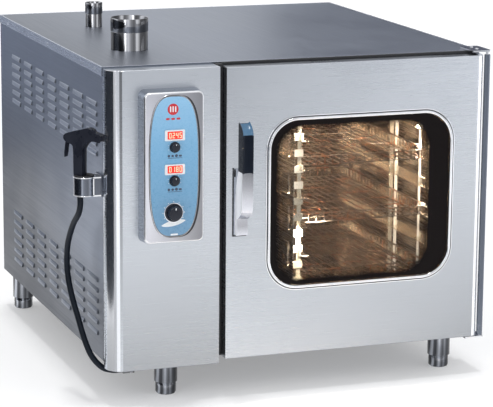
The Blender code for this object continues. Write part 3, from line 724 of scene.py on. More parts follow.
def add_louvre(shape, side, x, front, rear, z, material, dark):
    """Pressed hood standing off the sheet, open at its front end, fading into the sheet at its rear; the
    opening is a face in the dark material, painted shade.
    """
    section = ((0.6, 6.6), (-1.2, 5.4), (-2.9, 0.4), (-3.6, -2.4), (-3.3, -3.8), (-1.9, -5), (0.6, -5.8))
    length = rear - front
    stations = (
        (front, 1, 1), (front + 0.25 * length, 0.95, 1), (front + 0.7 * length, 0.78, 0.97),
        (rear - 6, 0.55, 0.92), (rear, -0.1, 0.8),
    )
    rings = []
    for y, rise, squeeze in stations:
        rings.append([(x + side * (u if u > 0 else u * rise), y, z + w * squeeze) for u, w in section])
    skin_rings(shape, rings, material=material)
    shape.faces.ensure_lookup_table()
    # The front end's face: painted shade.
    shape.faces[-2].material_index = dark


SHEET_DEPTH, SHEET_HEIGHT = (49.5, 1004.5), (0, 688.5)
LOUVRE_COLUMNS = ((796, 885), (680, 760), (567, 645), (450, 529), (332, 418), (211, 301), (94, 185))


def louvred_side(label, x, opening, columns, skins, hoods, dark):
    """Side panel; hoods are the material numbers of its upper and lower louvres, and dark that of their open
    ends, painted shade.
    """
    side, outside = (1, x[0]) if opening == "+X" else (-1, x[1])
    shape = skin_rings(bmesh.new(), pan_rings(x, SHEET_DEPTH, SHEET_HEIGHT, opening))
    for front, rear in columns:
        for row in range(6):
            add_louvre(shape, side, outside, front, rear, 597 - 23 * row, hoods[0], dark)
            add_louvre(shape, side, outside, front, rear, 184 - 25.4 * row, hoods[1], dark)
    if label == "right":
        for y in (70, 530, 985):
            for z in (34, 648):
                add_screw(shape, "X", 1, (y, z, outside), 4.2)
    name, node = "side_panel_%s_louvred" % label, "side_panel_" + label
    finish(name, shape, skins, node, bevel=0.5, segments=2)


# Left side: sheet, black, upper hoods painted light, opening shade, lower hoods painted shade.
LEFT_SKINS = [SIDE_STEEL, HOLE_PAINTED_SHADE, HOOD_UPPER_PAINTED_LIGHT, HOOD_SHADE, HOOD_LOWER_PAINTED_SHADE]
louvred_side("left", (0, 14), "+X", LOUVRE_COLUMNS, LEFT_SKINS, (2, 4), 3)
louvred_side("right", (923, 937), "-X", LOUVRE_COLUMNS[:3], [SIDE_STEEL, HOLE_PAINTED_SHADE], (0, 0), 1)

shape = skin_rings(bmesh.new(), pan_rings((14.4, 922.6), (992, 1006), (2.6, 688.5), "-Y"))
for x in (40, 320, 620, 897):
    for z in (24, 345, 668):
        add_screw(shape, "Y", 1, (x, z, 1006), 4.2)
for column in range(4):
    for row in range(7):
        x, z = 520 + 92 * column, 470 + 20 * row
        # Each vent's slot is a black shape, painted shade, under a strip.
        add_prism(shape, rounded((x, x + 74), (z, z + 7), 3.4, 4), "Y", 1005.4, 1006.15, 1)
        add_prism(shape, rounded((x - 2, x + 76), (z + 7, z + 9.4), 1.1, 2), "Y", 1005, 1007.6)
rear_skins = [SIDE_STEEL, HOLE_PAINTED_SHADE]
finish("rear_panel_vented", shape, rear_skins, "rear_panel", bevel=0.5, segments=2)

# Top: folded rim with the plate let into it.
RIM_X, RIM_Y, TOP_Z = (-2, 939), (47.5, 1008), 690.4


def rim_outline(inset):
    return rectangle(RIM_X, RIM_Y, inset)


rim_steps = ((0, 669.4), (0, TOP_Z), (4.2, TOP_Z), (4.2, 688.6), (1.5, 688.6), (1.5, 669.4))
shape = skin_rings(bmesh.new(), stack("Z", rim_outline, rim_steps), closed=True)
for y in (914, 515, 105):
    for sign, x in zip((-1, 1), RIM_X):
        add_screw(shape, "X", sign, (y, 679.5, x), 3.6, 1.5)
# The rim's front face takes the dark steel, painted shade.
mark_faces(shape, lambda middle, corners: middle.y < 49 and corners == 4)
finish("top_cover_rim", shape, [EDGE_STEEL, FRONT_EDGE_PAINTED_SHADE], "top_cover", bevel=0.9)

# Exhaust pipes: place, radius, height over the cover, and height of the seam between pipe and sleeve.
PIPES = {"large": (141, 300, 45, 76, 44), "small": (172, 710, 22, 62, 34)}
PIPE_HOLES = [(circle(r - 2, 48, (x, y)), "Z", 684, 696) for x, y, r, _, _ in PIPES.values()]
shape = add_prism(bmesh.new(), rounded(RIM_X, RIM_Y, 3, 3, -5.6), "Z", 688.7, 690.2)
carve(finish("top_cover_plate", shape, TOP_STEEL, bevel=0.5, segments=2), PIPE_HOLES)
# A black sheet under the plate, seen in the gap round it: painted shade.
shape = add_box(bmesh.new(), (1, 936), (50, 1005), (687.2, 688.3))
carve(finish("top_cover_seam", shape, HOLE_PAINTED_SHADE, bevel=0.2, segments=1), PIPE_HOLES)

# ---------------------------------------------------------------- control column


def column_outline(inset):
    radius = 40 - inset
    back = 47 - inset
    outline = [(265.6 - inset, back), (265.6 - inset, inset)]
    for step in range(41):
        a = math.radians(270 - 90 * step / 40)
        outline.append((40 + radius * math.cos(a), 40 + radius * math.sin(a)))
    outline.append((inset, back))
    return outline


column_steps = ((1.4, -15.6), (0, -14.2), (0, 685.3), (1.4, 686.7))
shape = skin_rings(bmesh.new(), stack("Z", column_outline, column_steps))
# Painted reflection bands on the column's sheet, each a material of its own, from its side strip round the
# bend to the flat front.
COLUMN_PAINTED_BANDS = (2, 14, 19, 26, 31.5, 300)
for face in shape.faces:
    middle = face.calc_center_median()
    if len(face.verts) == 4:
        face.material_index = next(i for i, limit in enumerate(COLUMN_PAINTED_BANDS) if middle.x < limit)
column_skins = [STRIP_STEEL, CORNER_SHADE, CORNER_PAINTED_MID_BAND, CORNER, CORNER_PAINTED_DARK_LINE, FRONT_STEEL]
finish("control_column", shape, column_skins, "control_fascia", angle=40)


def pod_outline(grow):
    return rounded((74, 212), (294, 638), 12 + grow * 0.6, 8, grow)


pod_steps = ((5, -0.2), (4.6, -3), (1.9, -34.5), (1.3, -36.8), (0.2, -38.6), (-1.4, -39.7), (-3.2, -40))
shape = skin_rings(bmesh.new(), stack("Y", pod_outline, pod_steps))
mark_faces(shape, lambda middle, corners: middle.y < -35, 2)
mark_faces(shape, lambda middle, corners: corners > 8 or middle.y < -39.6)
finish("control_pod_cover", shape, [POD_WALL, POD_FACE, RIM_STEEL], "control_pod", angle=50)


def barrel(grow):
    """The panel's outline, between an ellipse and a rectangle."""
    outline = []
    for c, s in circle(1, 96):
        bulge_c, bulge_s = (math.copysign(abs(share) ** (2 / 3.2), share) for share in (c, s))
        outline.append((142 + bulge_c * (57 + grow), 469.5 + bulge_s * (161 + grow)))
    return outline


shape = skin_rings(bmesh.new(), stack("Y", barrel, ((-0.2, -40), (-0.2, -41.2), (-0.8, -41.6))))
finish("control_panel", shape, PANEL_BLUE, "control_membrane", angle=30)
rim_steps = ((3.2, -39.9), (2.9, -40.5), (1.6, -41.5), (0.5, -41.9), (-0.6, -41.5), (-0.9, -40.2))
shape = skin_rings(bmesh.new(), stack("Y", barrel, rim_steps), closed=True)
finish("control_panel_rim", shape, PIPE_CHROME, angle=60)
# A black ring set to the right of and below the panel, showing at its right edge as a painted shadow.
shape = add_prism(bmesh.new(), [(u + 3, v - 0.6) for u, v in barrel(3)], "Y", -39.9, -40.6)
finish("control_panel_seal", shape, RUBBER, angle=40)

# Marks printed on the panel: plain shapes that carry no lettering.
FACE_Y = -41.6
TIME_KNOB, TEMPERATURE_KNOB, MODE_KNOB = (143, 514), (142.5, 436.5), (140.5, 363)


def printed(name, outlines, skin, lift=0.22):
    shape = bmesh.new()
    for outline in outlines:
        add_prism(shape, outline, "Y", FACE_Y - lift, FACE_Y + 0.2)
    finish(name, shape, skin, angle=30)


badge = [circle(13, 40, (139, 601))] + [pill((x, x + 9), (577, 581.5)) for x in (122, 134.5, 147)]
printed("mark_badge", badge, MARK_RED)
printed("mark_badge_steam", [pill((x, x + 3), (594.5, 608)) for x in (131.5, 137.5, 143.5)], MARK_WHITE, 0.34)
for label, z in (("time", 494), ("temperature", 416.5)):
    signs = [circle(3.1, 18, (129, z)), pill((135, 141), (z - 2.6, z + 2.6)), circle(3.4, 18, (147, z + 0.4))]
    signs += [pill((152.5, 160), (z - 2.2, z + 2.2)), pill((126, 161), (z - 5.4, z - 4.4))]
    printed("mark_row_" + label, signs, MARK_DARK)
swoosh = []
for start, way, base, bow in ((0, 1, 334, -9), (1, -1, 334.2, 4.5)):
    for i in range(25):
        t = start + way * i / 24
        arch = math.sin(math.pi * t)
        swoosh.append((111 + 58 * t, base + 10 * t + 2 * arch + bow * arch**0.7))
printed("mark_mode_band", [swoosh], MARK_WHITE)
printed("mark_foot_arc", [pill((133, 151), (310, 314))], MARK_WHITE)


def dots(centre, away, size, count, start, sweep):
    """Small dots on an arc round a knob."""
    turns = [math.radians(start + sweep * i / (count - 1)) for i in range(count)]
    return [circle(size, 10, (centre[0] + away * math.cos(a), centre[1] + away * math.sin(a))) for a in turns]


dial = dots(MODE_KNOB, 25.5, 1.15, 9, -30, 240)
for centre in (TIME_KNOB, TEMPERATURE_KNOB):
    dial += dots(centre, 15.4, 0.8, 7, -20, 220)
printed("mark_dial_dots", dial, MARK_WHITE)

SEGMENTS = {"0": "abcdef", "1": "bc", "2": "abged", "4": "fgbc", "5": "afgcd", "8": "abcdefg"}


def digit_outlines(text, x, z, width=5.6, height=12.2, stroke=1.5):
    """Seven-segment digits as rounded bars."""
    outlines = []
    for place_no, digit in enumerate(text):
        left = x + place_no * (width + 2.6)
        mid, high = z + height / 2, z + height
        across, lefts = (left, left + width), (left, left + stroke)
        rights = (left + width - stroke, left + width)
        bars = {
            "a": (across, (high - stroke, high)),
            "g": (across, (mid - stroke / 2, mid + stroke / 2)),
            "d": (across, (z, z + stroke)),
            "f": (lefts, (mid, high)),
            "b": (rights, (mid, high)),
            "e": (lefts, (z, mid)),
            "c": (rights, (z, mid)),
        }
        outlines += [pill(*bars[key]) for key in SEGMENTS[digit]]
    return outlines


for label, z0, z1, text in (("time", 529, 554, "0245"), ("temperature", 451, 475, "0180")):
    name = "display_" + label

    def bezel_outline(grow):
        return rounded((119, 167), (z0, z1), 3 + grow, 6, grow)

    bezel = plain("display_bezel_" + label, (0.83, 0.86, 0.89), 0.35)
    shape = skin_rings(bmesh.new(), stack("Y", bezel_outline, ((0, -42), (0, -43.4), (-0.7, -44))))
    display = finish(name + "_bezel", shape, bezel, name, angle=30)
    carve(display, [(rounded((125, 161), (z0 + 3.6, z1 - 3.2), 1, 3), "Y", -46, -42.9)])
    display.data.set_sharp_from_angle(angle=math.radians(30))
    shape = add_prism(bmesh.new(), rounded((125.1, 160.9), (z0 + 3.7, z1 - 3.3), 1, 3), "Y", -43.3, -42.7)
    finish(name + "_window", shape, LED_BACK, angle=30)
    shape = bmesh.new()
    for outline in digit_outlines(text, 129.2, z0 + 6.2):
        add_prism(shape, outline, "Y", -43.55, -43.2)
    finish(name + "_digits", shape, LED_DIGIT, angle=30)


def knob(kind, centre, radius, length, flutes):
    """Skirt, fluted cap and a white pointer line."""
    x, z = centre
    y = -42
    skirt = ((0, 0), (1, 0), (1, 0.16), (0.95, 0.24), (0.86, 0.26))
    cap = ((0.86, 0.24), (0.82, 0.40), (0.79, 0.80), (0.74, 0.92), (0.64, 0.985), (0.45, 1), (0, 1))
    shape = bmesh.new()
    add_turned(shape, [(radius * r, -length * h) for r, h in skirt], "Y", (x, z, y), 56)
    profile = [(radius * r, -length * h) for r, h in cap]
    add_turned(shape, profile, "Y", (x, z, y), 96, flute=radius * 0.05, flutes=flutes)
    half = radius * 0.055
    pointer = rounded((x - half, x + half), (z + radius * 0.25, z + radius * 0.66), radius * 0.05, 3)
    add_prism(shape, pointer, "Y", y - length, y - length * 0.97, 1)
    name, node, body = "knob_%s_cap" % kind, "knob_" + kind, kind + "_knob"
    finish(name, shape, [BLACK, MARK_WHITE], node, body, angle=35)


knob("time", TIME_KNOB, 12.5, 12, 16)
knob("temperature", TEMPERATURE_KNOB, 12.5, 12, 16)
knob("mode", MODE_KNOB, 21, 18, 24)
collar = [(22.6, 0.2), (22.9, -0.9), (21.9, -1.5), (20, -0.6), (20, 0.2)]
centre = (*MODE_KNOB, FACE_Y)
finish_turned("knob_mode_collar", collar, centre, TRIM_STEEL, axis="Y", angle=60)

# Black strips filling the gap beside the door and above it: painted shade in the gaps.
shape = add_box(bmesh.new(), (265.9, 281), (24, 48.9), (-3, 688))
add_box(shape, (281, 930), (40, 48.9), (684.2, 689.6))
finish("door_edge_seal", shape, RUBBER, bevel=0.8, segments=2)

# ---------------------------------------------------------------- door


def door_outline(inset):
    radius = 24 - inset
    outline = [(281.7 + inset, 45.4), (281.7 + inset, inset)]
    for step in range(29):
        a = math.radians(270 + 90 * step / 28)
        outline.append((912 + radius * math.cos(a), 24 + radius * math.sin(a)))
    outline.append((936 - inset, 45.4))
    return outline


def window_outline(inset):
    return rounded((379, 857), (147, 564), 80 - inset, 14, -inset)


shape = skin_rings(bmesh.new(), stack("Z", door_outline, ((1.2, -6.4), (0, -5.2), (0, 682.4), (1.2, 683.6))))
# The bend's faces take the glowing material, a painted highlight.
mark_faces(shape, lambda middle, corners: middle.x > 917 and middle.y < 45 and corners == 4)
door = finish("door_skin", shape, [DOOR_STEEL, DOOR_BEND_GLOW], "door_shell", "door", angle=40)
carve(
    door,
    [
        (window_outline(11), "Y", -20, 60),
        (circle(9, 40, (315, 320)), "Y", -20, 60),
        (rectangle((284.2, 933.5), (39.7, 80)), "Z", -3.9, 681.1),
    ],
)
door.data.set_sharp_from_angle(angle=math.radians(28))

# Chrome bead with a rubber groove: inset, depth and material of each step.
bead = (
    (0, -0.3, 0), (0, -1.6, 0), (0.8, -2.3, 0), (2.2, -2.3, 0), (2.8, -1.4, 1), (3, -0.7, 1), (3.9, -0.7, 1),
    (4.2, -2.6, 0), (5, -4.3, 0), (6.4, -5.3, 0), (8.2, -5.5, 0), (9.9, -5, 0), (11.2, -3.7, 0),
    (11.9, -1.8, 0), (12.1, 1, 0), (12.1, 42, 0), (10.2, 42, 0), (10.2, -0.3, 0),
)
shape = bmesh.new()
rows = [[shape.verts.new((u, y, v)) for u, v in window_outline(inset)] for inset, y, _ in bead]
for lower, upper, (_, _, material) in zip(rows, rows[1:] + rows[:1], bead):
    bridge(shape, lower, upper, material)
finish("window_bead", shape, [CHROME, RUBBER], "window_trim", "door", angle=46)

for label, y0, y1, skin in (("outer", 2, 7, OUTER_GLASS), ("inner", 33, 38, INNER_GLASS)):
    pane = ((12.9, y0), (12.4, y0 + 0.5), (12.4, y1 - 0.5), (12.9, y1))
    shape = skin_rings(bmesh.new(), stack("Y", window_outline, pane))
    finish("window_glass_" + label, shape, skin, "glass_" + label, "door", angle=30)

# Black border printed behind the outer glass, breaking up into dots towards the clear middle.
CLEAR_X, CLEAR_Z, CLEAR_RADIUS = (405, 793), (168, 541), 66
PRINT_Y = 1.75


def edge_distance(u, v):
    """How far inside the black border a point lies, in millimetres."""
    (x0, x1), (z0, z1), r = CLEAR_X, CLEAR_Z, CLEAR_RADIUS
    cx = min(max(u, x0 + r), x1 - r)
    cz = min(max(v, z0 + r), z1 - r)
    if u != cx and v != cz:
        return r - math.hypot(u - cx, v - cz)
    return min(u - x0, x1 - u, v - z0, z1 - v)


shape = bmesh.new()
border = [window_outline(12.6), rounded(CLEAR_X, CLEAR_Z, CLEAR_RADIUS, 14)]
skin_rings(shape, [[(u, PRINT_Y, v) for u, v in outline] for outline in border], cap=False)
pitch = 3.9
row_no = 0
v = CLEAR_Z[0]
while v < CLEAR_Z[1]:
    u = CLEAR_X[0] + (pitch / 2 if row_no % 2 else 0)
    while u < CLEAR_X[1]:
        inside = edge_distance(u, v)
        if -0.5 < inside < 24:
            dot = circle(2.15 * (1 - inside / 27), 8, (u, v))
            shape.faces.new([shape.verts.new((x, PRINT_Y, z)) for x, z in dot])
        u += pitch
    v += pitch * 0.866
    row_no += 1
finish("window_border_print", shape, FRIT, body="door", angle=30)

tube = [(7.3, -5.8), (7.3, 683), (6.7, 683.6), (4, 683.6), (4, -6.4), (6.7, -6.4)]
centre = (943.7, 12, 0)
finish_turned("hinge_tube_polished", tube, centre, HINGE_STEEL, "hinge_tube", "door", steps=48)


def plate_outline(grow):
    return rounded((299, 334), (290, 447), 4, 5, grow)


shape = skin_rings(bmesh.new(), stack("Y", plate_outline, ((0, -0.1), (0, -2.2), (-0.8, -3))))
finish("handle_plate", shape, POD_WALL, "handle_escutcheon", "door", angle=30)
# Black strips along the plate's left and bottom edges: a painted shadow.
shape = add_box(bmesh.new(), (296.8, 300), (-1.6, -0.1), (288, 449))
add_box(shape, (296.8, 331), (-1.6, -0.1), (286.8, 290))
finish("handle_plate_seal", shape, RUBBER, body="door", bevel=0.3, segments=1)
# A black slot shape on the plate: painted shade in the latch slot.
shape = add_prism(bmesh.new(), rounded((299.6, 303.8), (428, 446), 1.6, 4), "Y", -3.4, -2.4)
finish("handle_plate_slot", shape, HOLE_PAINTED_SHADE, body="door", bevel=0.15, segments=1)


def handle_point(u, v, z):
    return Vector((315 + v, u, z))


lever = smooth_outline(
    [
        (-4, 293.6), (-4, 293.6), (-14.6, 293.2), (-16.4, 295.6), (-16.8, 331), (-16.8, 331), (-30, 339),
        (-44, 349), (-49.6, 358), (-50.8, 378), (-51.6, 410), (-52, 444.8), (-52, 444.8), (-27, 444.8),
        (-27, 444.8), (-22, 434), (-14, 410), (-9, 386), (-4.2, 366), (-4, 350),
    ],
    5,
)
shape = swell(lever, 13.5, 1.3, bmesh.new(), handle_point)
# The lever's left flank takes the glowing material, a painted highlight.
mark_faces(shape, lambda middle, corners: middle.x < 302)
lever_skins = [LEVER_STEEL, LEVER_FLANK_GLOW]
arm = finish("handle_arm", shape, lever_skins, "handle_lever", "handle", angle=34)
grip = smooth_outline(
    [
        (-26.2, 445.5), (-26.2, 445.5), (-52.6, 445.5), (-52.6, 445.5), (-53, 500), (-53, 526), (-51.5, 535),
        (-46, 545), (-38, 551.5), (-30, 556.2), (-26.6, 556.6), (-26.2, 552), (-26, 500),
    ],
    5,
)
shape = swell(grip, 12.5, 3.4, bmesh.new(), handle_point)
# The grip's top slope takes the bluish plastic, a painted reflection.
mark_faces(shape, lambda middle, corners: middle.z > 533 and middle.y < -27 and corners == 4)
grip_skins = [GRIP_BLACK, GRIP_TOP_PAINTED_REFLECTION]
moulded = finish("handle_grip_moulded", shape, grip_skins, "handle_grip", "handle", angle=42)

# The brushed door is too dull to mirror its handle as sharply as plain gloss would.
for piece in (arm, moulded):
    piece.visible_glossy = False

# ---------------------------------------------------------------- exhaust pipes and feet

for label, (px, py, radius, height, seam) in PIPES.items():
    name, centre = "exhaust_" + label, (px, py, TOP_Z)
    lower = [(0.6, 0.2), (1, 1.4), (1, seam - 1.2), (1.5, seam - 0.2), (2.8, seam - 0.2), (2.8, -6)]
    lower.append((2.2, -6))
    upper = [(0.5, seam + 0.3), (0, seam + 0.9), (0, height - 0.8), (0.5, height), (2, height)]
    upper += [(2.6, height - 0.8), (2.6, seam + 0.3)]
    for part, steps, node in (("_lower", lower, "_pipe"), ("_upper", upper, "_sleeve")):
        profile = [(radius - thinner, along) for thinner, along in steps]
        finish_turned(name + part, profile, centre, PIPE_CHROME, name + node, steps=72)
    # A black disc down in each pipe: painted shade in its bore.
    depth = [(0, -30), (radius - 3, -30), (radius - 3, -29), (0, -29)]
    finish_turned(name + "_depth", depth, centre, HOLE_PAINTED_SHADE, steps=40, closed=False)

FEET = {"front_left": (162, 84), "front_right": (873, 92), "rear_left": (42, 962), "rear_right": (873, 962)}
foot_tube = [(27.5, -69.4), (27.5, -2.2), (28.6, -1.4), (28.6, -0.4), (25, -0.4), (25, -70), (27, -70)]
foot_screw = ((20.5, -100), (22.5, -99), (24.5, -95), (24.5, -74), (23.2, -71.2), (23.2, -60))
for label, (px, py) in FEET.items():
    name, node = "foot_leg_" + label, "foot_tube_" + label
    finish_turned(name, foot_tube, (px, py, 0), FOOT_CHROME, node)

    def screw_outline(radius):
        return circle(radius, 12, (px, py), 0.26)

    shape = skin_rings(bmesh.new(), stack("Z", screw_outline, foot_screw))
    node = "foot_insert_" + label
    finish("foot_screw_" + label, shape, FOOT_CHROME, node, bevel=0.5, segments=2)

# ---------------------------------------------------------------- hand shower holder

HOLDER_X, HOLDER_Y, HOLDER_Z = -37, 72, (394, 436)
HOLDER_AT = (HOLDER_X, HOLDER_Y, 0)
ring = [(24.2, 394), (25, 394.8), (25, 435.2), (24.2, 436), (23.4, 435.4), (23, 434), (23, 394.6)]
finish_turned("holder_ring", ring, HOLDER_AT, HOLDER_STEEL, "shower_holder")
shape = bmesh.new()
for z in HOLDER_Z:
    add_turned(shape, circle(1.5, 10, (24.9, 0)), "Z", (HOLDER_X, HOLDER_Y, z), 64, closed=True)
    add_box(shape, (-23, -3), (48.6, 51.4), (z - 1.5, z + 1.5))
add_box(shape, (-23, -20.4), (48.6, 51.4), HOLDER_Z)
finish("holder_lips", shape, CHROME, angle=50)
cheeks = [(-3, 50), (-22, 50.4), (-13.4, 62), (-13.4, 82), (-22, 93.6), (-3, 94)]
shape = add_prism(bmesh.new(), cheeks, "Z", HOLDER_Z[0] + 0.6, HOLDER_Z[1] - 0.6)
add_prism(shape, rounded((48, 98), (390, 440), 3, 5), "X", -4, -0.2)
finish("holder_bracket", shape, HOLDER_STEEL, bevel=0.8)
shape = bmesh.new()
for z in (430, 403):
    add_screw(shape, "X", -1, (92, z, -4), 3.2, 1.4)
finish("holder_screws", shape, TRIM_STEEL, angle=40)
cup = [
    (0, 396), (21, 396), (22.5, 397.5), (22.5, 437), (23.4, 438.2), (22.4, 440.2), (18.5, 440), (15.5, 437.5),
    (14, 433), (0, 431),
]
finish_turned(
    "holder_cup", cup, HOLDER_AT, RUBBER, "shower_cup", steps=48, closed=False, angle=50
)

# ---------------------------------------------------------------- inside of the oven

shape = add_box(bmesh.new(), (470, 472), (58, 754), (62, 638))
guard = finish("fan_baffle", shape, CAVITY_STEEL, "fan_guard", bevel=0.4, segments=2)
holes = [rounded((340, 460), (z, z + 5), 2.4, 3) for z in range(238, 463, 15)]
for y in (78, 708):
    holes += [rounded((y, y + 14), (z, z + 60), 5, 3) for z in range(96, 624, 88)]
for z in (606, 84):
    holes += [rounded((y, y + 60), (z, z + 12), 5, 3) for y in range(120, 660, 90)]
carve(guard, [(outline, "X", 460, 480) for outline in holes])

# Racks: toothed uprights, strips and plates that glow as painted light, and seven angled runners a side,
# whose walls on the left glow too.
RACK_Z = (61, 634)
teeth = []
z = 66
while z < 628:
    teeth += [(0, z), (0, z + 11), (4.4, z + 13), (4.4, z + 20), (0, z + 22)]
    z += 23.333
for side, way, back, face, runner in (("left", 1, 500, 512, (505, 527)), ("right", -1, 870, 858, (843, 865))):
    outline = [(back, RACK_Z[0]), (face, RACK_Z[0])] + [(face - way * depth, z) for depth, z in teeth]
    outline += [(face, RACK_Z[1]), (back, RACK_Z[1])]
    if side == "right":
        outline.reverse()
        wall = (runner[1] - 1.8, runner[1])
    else:
        wall = (runner[0], runner[0] + 1.8)
    shape = bmesh.new()
    for y in (120, 390, 660):
        add_prism(shape, outline, "Y", y - 6, y + 6)
    if side == "left":
        # Upright plates and a strip with a glow: painted light.
        for k in range(14):
            z = 92 + 39 * k
            add_box(shape, (491, 515), (110, 113.6), (z, z + 17), 2 if k > 6 else 1)
        add_box(shape, (501, 511), (112.6, 113.8), RACK_Z, 1)
    else:
        # Glowing strips on the right rack: painted light.
        for y, width, material in ((205, 6, 2), (350, 8, 2), (384, 10, 1)):
            add_box(shape, (858, 858 + width), (y - 1.6, y), RACK_Z, material)
    for z in range(130, 620, 70):
        add_box(shape, runner, (100, 690), (z, z + 2))
        # The left runners' walls take the glowing material: painted light.
        add_box(shape, wall, (100, 690), (z, z + 16), 1 if side == "left" else 0)
    skins = [RACK_STEEL, RACK_PAINTED_LIGHT, RACK_PAINTED_LAMPLIGHT]
    finish("rack_%s_runners" % side, shape, skins, "rack_" + side, bevel=0.5, segments=2)

# Open steam baskets: a folded rim, upright wires round the sides, and a floor of slats.


def tray_outline(grow):
    return rounded((522, 848), (136, 654), 22, 6, grow)


for number in (1, 2, 3):
    z = 133.4 + 140 * (number - 1)
    wires = (z + 1, z + 23)
    shape = bmesh.new()
    for steps in (((6, 22.2), (6, 24), (-1, 24), (-1, 22.2)), ((-2, 0), (-2, 2.4), (-6, 2.4), (-6, 0))):
        skin_rings(shape, stack("Z", tray_outline, [(grow, z + up) for grow, up in steps]), closed=True)
    for k in range(15):
        x = 541 + 20.6 * k
        add_box(shape, (x - 2.2, x + 2.2), (140, 650), (z + 0.3, z + 1.6))
        for y in (139, 649):
            add_box(shape, (x - 1.1, x + 1.1), (y, y + 2), wires)
    for k in range(24):
        y = 158 + 20.6 * k
        for x in (525, 843):
            add_box(shape, (x, x + 2), (y - 1.1, y + 1.1), wires)
    for y in range(190, 682, 82):
        add_box(shape, (526, 844), (y - 2.4, y + 2.4), (z + 0.5, z + 1.9))
    finish("gn_tray_%d" % number, shape, TRAY_STEEL, "tray_%d" % number, angle=40)

# ---------------------------------------------------------------- CAD pieces that keep their own shape

# Material, slot, and width of the softened edges.
KEPT = {
    "base_tray": (SIDE_STEEL, "brushed_steel", 0.6),
    "front_frame": (FRAME_STEEL, "polished_steel", 0.4),
    "cavity_liner": (LINER, "cavity_steel", 0.5),
    "door_gasket": (RUBBER, "black_rubber", 0.8),
    "fan_motor": (BLACK, "black_plastic", 0.8),
    "fan_wheel": (CAVITY_STEEL, "cavity_steel", 0.4),
    "heating_ring": (HEATER, "chrome", 0),
    "cavity_lamp": (LENS, "lamp_lens", 0),
    "drain_strainer": (RACK_STEEL, "chrome", 0),
    "door_inner_frame": (FRAME_STEEL, "polished_steel", 0.6),
    "hinge_bracket_top": (BRACKET, "polished_steel", 0.9),
    "hinge_bracket_bottom": (BRACKET, "polished_steel", 0.9),
    "latch_spindle": (BRACKET, "polished_steel", 0.4),
    "latch_keeper": (BRACKET, "polished_steel", 0.4),
    "hose_union": (PIPE_CHROME, "chrome", 0.5),
}
HIDDEN = {
    "shower_holder": CHROME, "shower_cup": RUBBER, "shower_hose": RUBBER, "shower_gun": BLACK,
    "shower_trigger": BLACK, "glass_outer": OUTER_GLASS, "glass_inner": INNER_GLASS,
    "control_membrane": PANEL_BLUE, "display_time": LED_BACK, "display_temperature": LED_BACK,
    "knob_time": BLACK, "knob_temperature": BLACK, "knob_mode": BLACK, "handle_grip": GRIP_BLACK,
}
for name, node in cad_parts.items():
    skin, slot_name, width = KEPT.get(name, (HIDDEN.get(name, FRONT_STEEL), None, 0))
    node.data.materials.clear()
    node.data.materials.append(skin)
    if width:
        node.modifiers.new("weld", "WELD").merge_threshold = 0.00001
        add_bevel(node, width, 2, 40).use_clamp_overlap = True

# Fixings seen with the door open.
shape = bmesh.new()
for x in (300, 608, 918):
    for z in (20, 655):
        add_screw(shape, "Y", 1, (x, z, 45.5))
for z in (240, 470):
    for x in (300, 918):
        add_screw(shape, "Y", 1, (x, z, 45.5))
finish("door_inner_screws", shape, TRIM_STEEL, body="door", angle=40)
shape = bmesh.new()
for y in (36, 66):
    add_screw(shape, "Z", 1, (927, y, 694.6), 4.4, 2)
finish("hinge_bracket_screws", shape, TRIM_STEEL, angle=40)

# ---------------------------------------------------------------- surroundings and light

floor_look = Graph("floor_paper")
pores = floor_look.scaled(floor_look.noise(40), 0, 1)
floor_look.put("Base Color", floor_look.mix(pores, (0.73, 0.73, 0.73), (0.71, 0.71, 0.71)))
floor_look.put("Emission Color", (1, 1, 1))
floor_look.put("Emission Strength", 0.29)
floor_look.put("Roughness", 0.95)
floor_look.put("Specular IOR Level", 0.1)


def staged(name, mesh, look, hidden_from):
    """A thing that belongs to the studio and not to the object."""
    mesh.materials.append(look)
    made = put_in_scene(name, mesh)
    for rays in hidden_from:
        setattr(made, "visible_" + rays, False)
    return made


def quad(name, x, y, z=0):
    mesh = bpy.data.meshes.new(name)
    mesh.from_pydata([(u, v, z) for u, v in rectangle(x, y)], [], [(0, 1, 2, 3)])
    return mesh


# The near floor is what the steel mirrors; the far one only carries the paper on behind other viewpoints.
staged("floor", quad("floor", (-9, 9), (-3.1, 14)), floor_look.material, ())
staged("floor_far", quad("floor_far", (-60, 60), (-60, 60), -0.002), floor_look.material, ("glossy",))

# White paper behind every viewpoint: seen by the camera and through glass, but not mirrored.
shape = bmesh.new()
bmesh.ops.create_uvsphere(shape, u_segments=48, v_segments=24, radius=58)
dome = bpy.data.meshes.new("paper_dome")
shape.to_mesh(dome)
shape.free()
staged("paper_dome", dome, plain("paper_dome_look", (1, 1, 1), 1, glow=1), ("diffuse", "glossy", "shadow"))


def aim(made, place_at, target, front):
    made.location = place_at
    made.rotation_euler = (Vector(target) - Vector(place_at)).to_track_quat(front, "Y").to_euler()


def card(name, place_at, size, tone, target, glow=0):
    """Upright studio card that the polished parts reflect."""
    mesh = quad(name, *((-side / 2, side / 2) for side in size))
    made = staged(name, mesh, plain(name + "_look", tone, 0.9, glow=glow), ("diffuse", "shadow", "camera"))
    aim(made, place_at, target, "Z")


def area(name, place_at, target, size, power, tint=(1, 1, 1)):
    lamp = bpy.data.lights.new(name, "AREA")
    lamp.shape = "RECTANGLE"
    lamp.size, lamp.size_y = size
    lamp.energy = power
    lamp.color = tint
    aim(put_in_scene(name, lamp), place_at, target, "-Z")


def oven_area(name, place_at, target, size, power):
    area(name, at(*place_at), at(*target), size, power, (1, 0.85, 0.69))


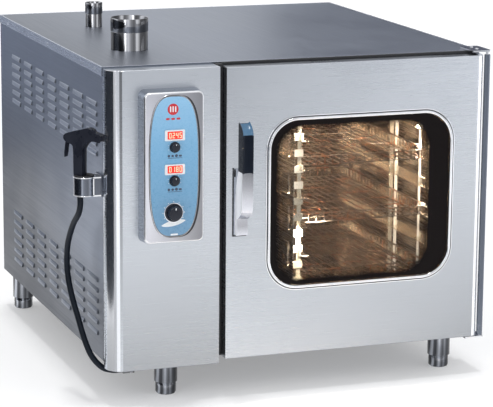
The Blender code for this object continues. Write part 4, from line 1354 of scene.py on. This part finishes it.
zenith = bpy.data.lights.new("zenith", "SUN")
zenith.energy = 1.25
zenith.angle = math.radians(9)
put_in_scene("zenith", zenith)
area("front_left", (-2.6, -2.6, 1.7), (0, -0.4, 0.4), (0.7, 2.4), 14)
area("front_right", (2.2, -3.4, 1.9), (0.1, -0.4, 0.4), (2, 2), 9)
card("flag_left", (-1.32, -0.22, 0.55), (2, 1.1), (0.02, 0.025, 0.035), (0.3, -0.22, 0.55))
card("flag_back_left", (-1.25, 2.1, 0.38), (2.2, 0.72), (0.30, 0.33, 0.40), (0, 0.4, 0.38))
card("flag_back_right", (2.45, 3.2, 1.9), (2.2, 1.9), (0.10, 0.11, 0.15), (0.6, 0.2, 0.8))
card("card_right", (2.3, -0.9, 0.6), (1.2, 1.2), (0.95, 0.96, 1), (0.5, -0.4, 0.5), 0.9)
oven_area("oven_lamp", (610, 300, 585), (530, 420, 150), (0.12, 0.18), 2.6)
oven_area("oven_fill", (550, 80, 600), (520, 280, 90), (0.12, 0.05), 8)
oven_area("oven_low", (545, 86, 240), (545, 400, 90), (0.10, 0.06), 3)
oven_area("oven_side", (878, 222, 350), (471, 300, 300), (0.06, 0.45), 3.5)
oven_area("fan_chamber", (388, 150, 540), (470, 380, 300), (0.04, 0.08), 5.5)

world = bpy.data.worlds.new("studio")
world.use_nodes = True
tree = world.node_tree
backdrop = tree.nodes["Background"]
coords = tree.nodes.new("ShaderNodeTexCoord")
split = tree.nodes.new("ShaderNodeSeparateXYZ")
rise = tree.nodes.new("ShaderNodeValToRGB")
low, high = rise.color_ramp.elements
low.position, low.color = 0, (0.60, 0.615, 0.65, 1)
high.position, high.color = 0.75, (0.74, 0.745, 0.76, 1)
tree.links.new(coords.outputs["Generated"], split.inputs[0])
tree.links.new(split.outputs[2], rise.inputs["Fac"])
tree.links.new(rise.outputs["Color"], backdrop.inputs["Color"])
backdrop.inputs["Strength"].default_value = 1

scene = bpy.context.scene
scene.world = world
scene.view_settings.view_transform = "Standard"
scene.view_settings.look = "None"
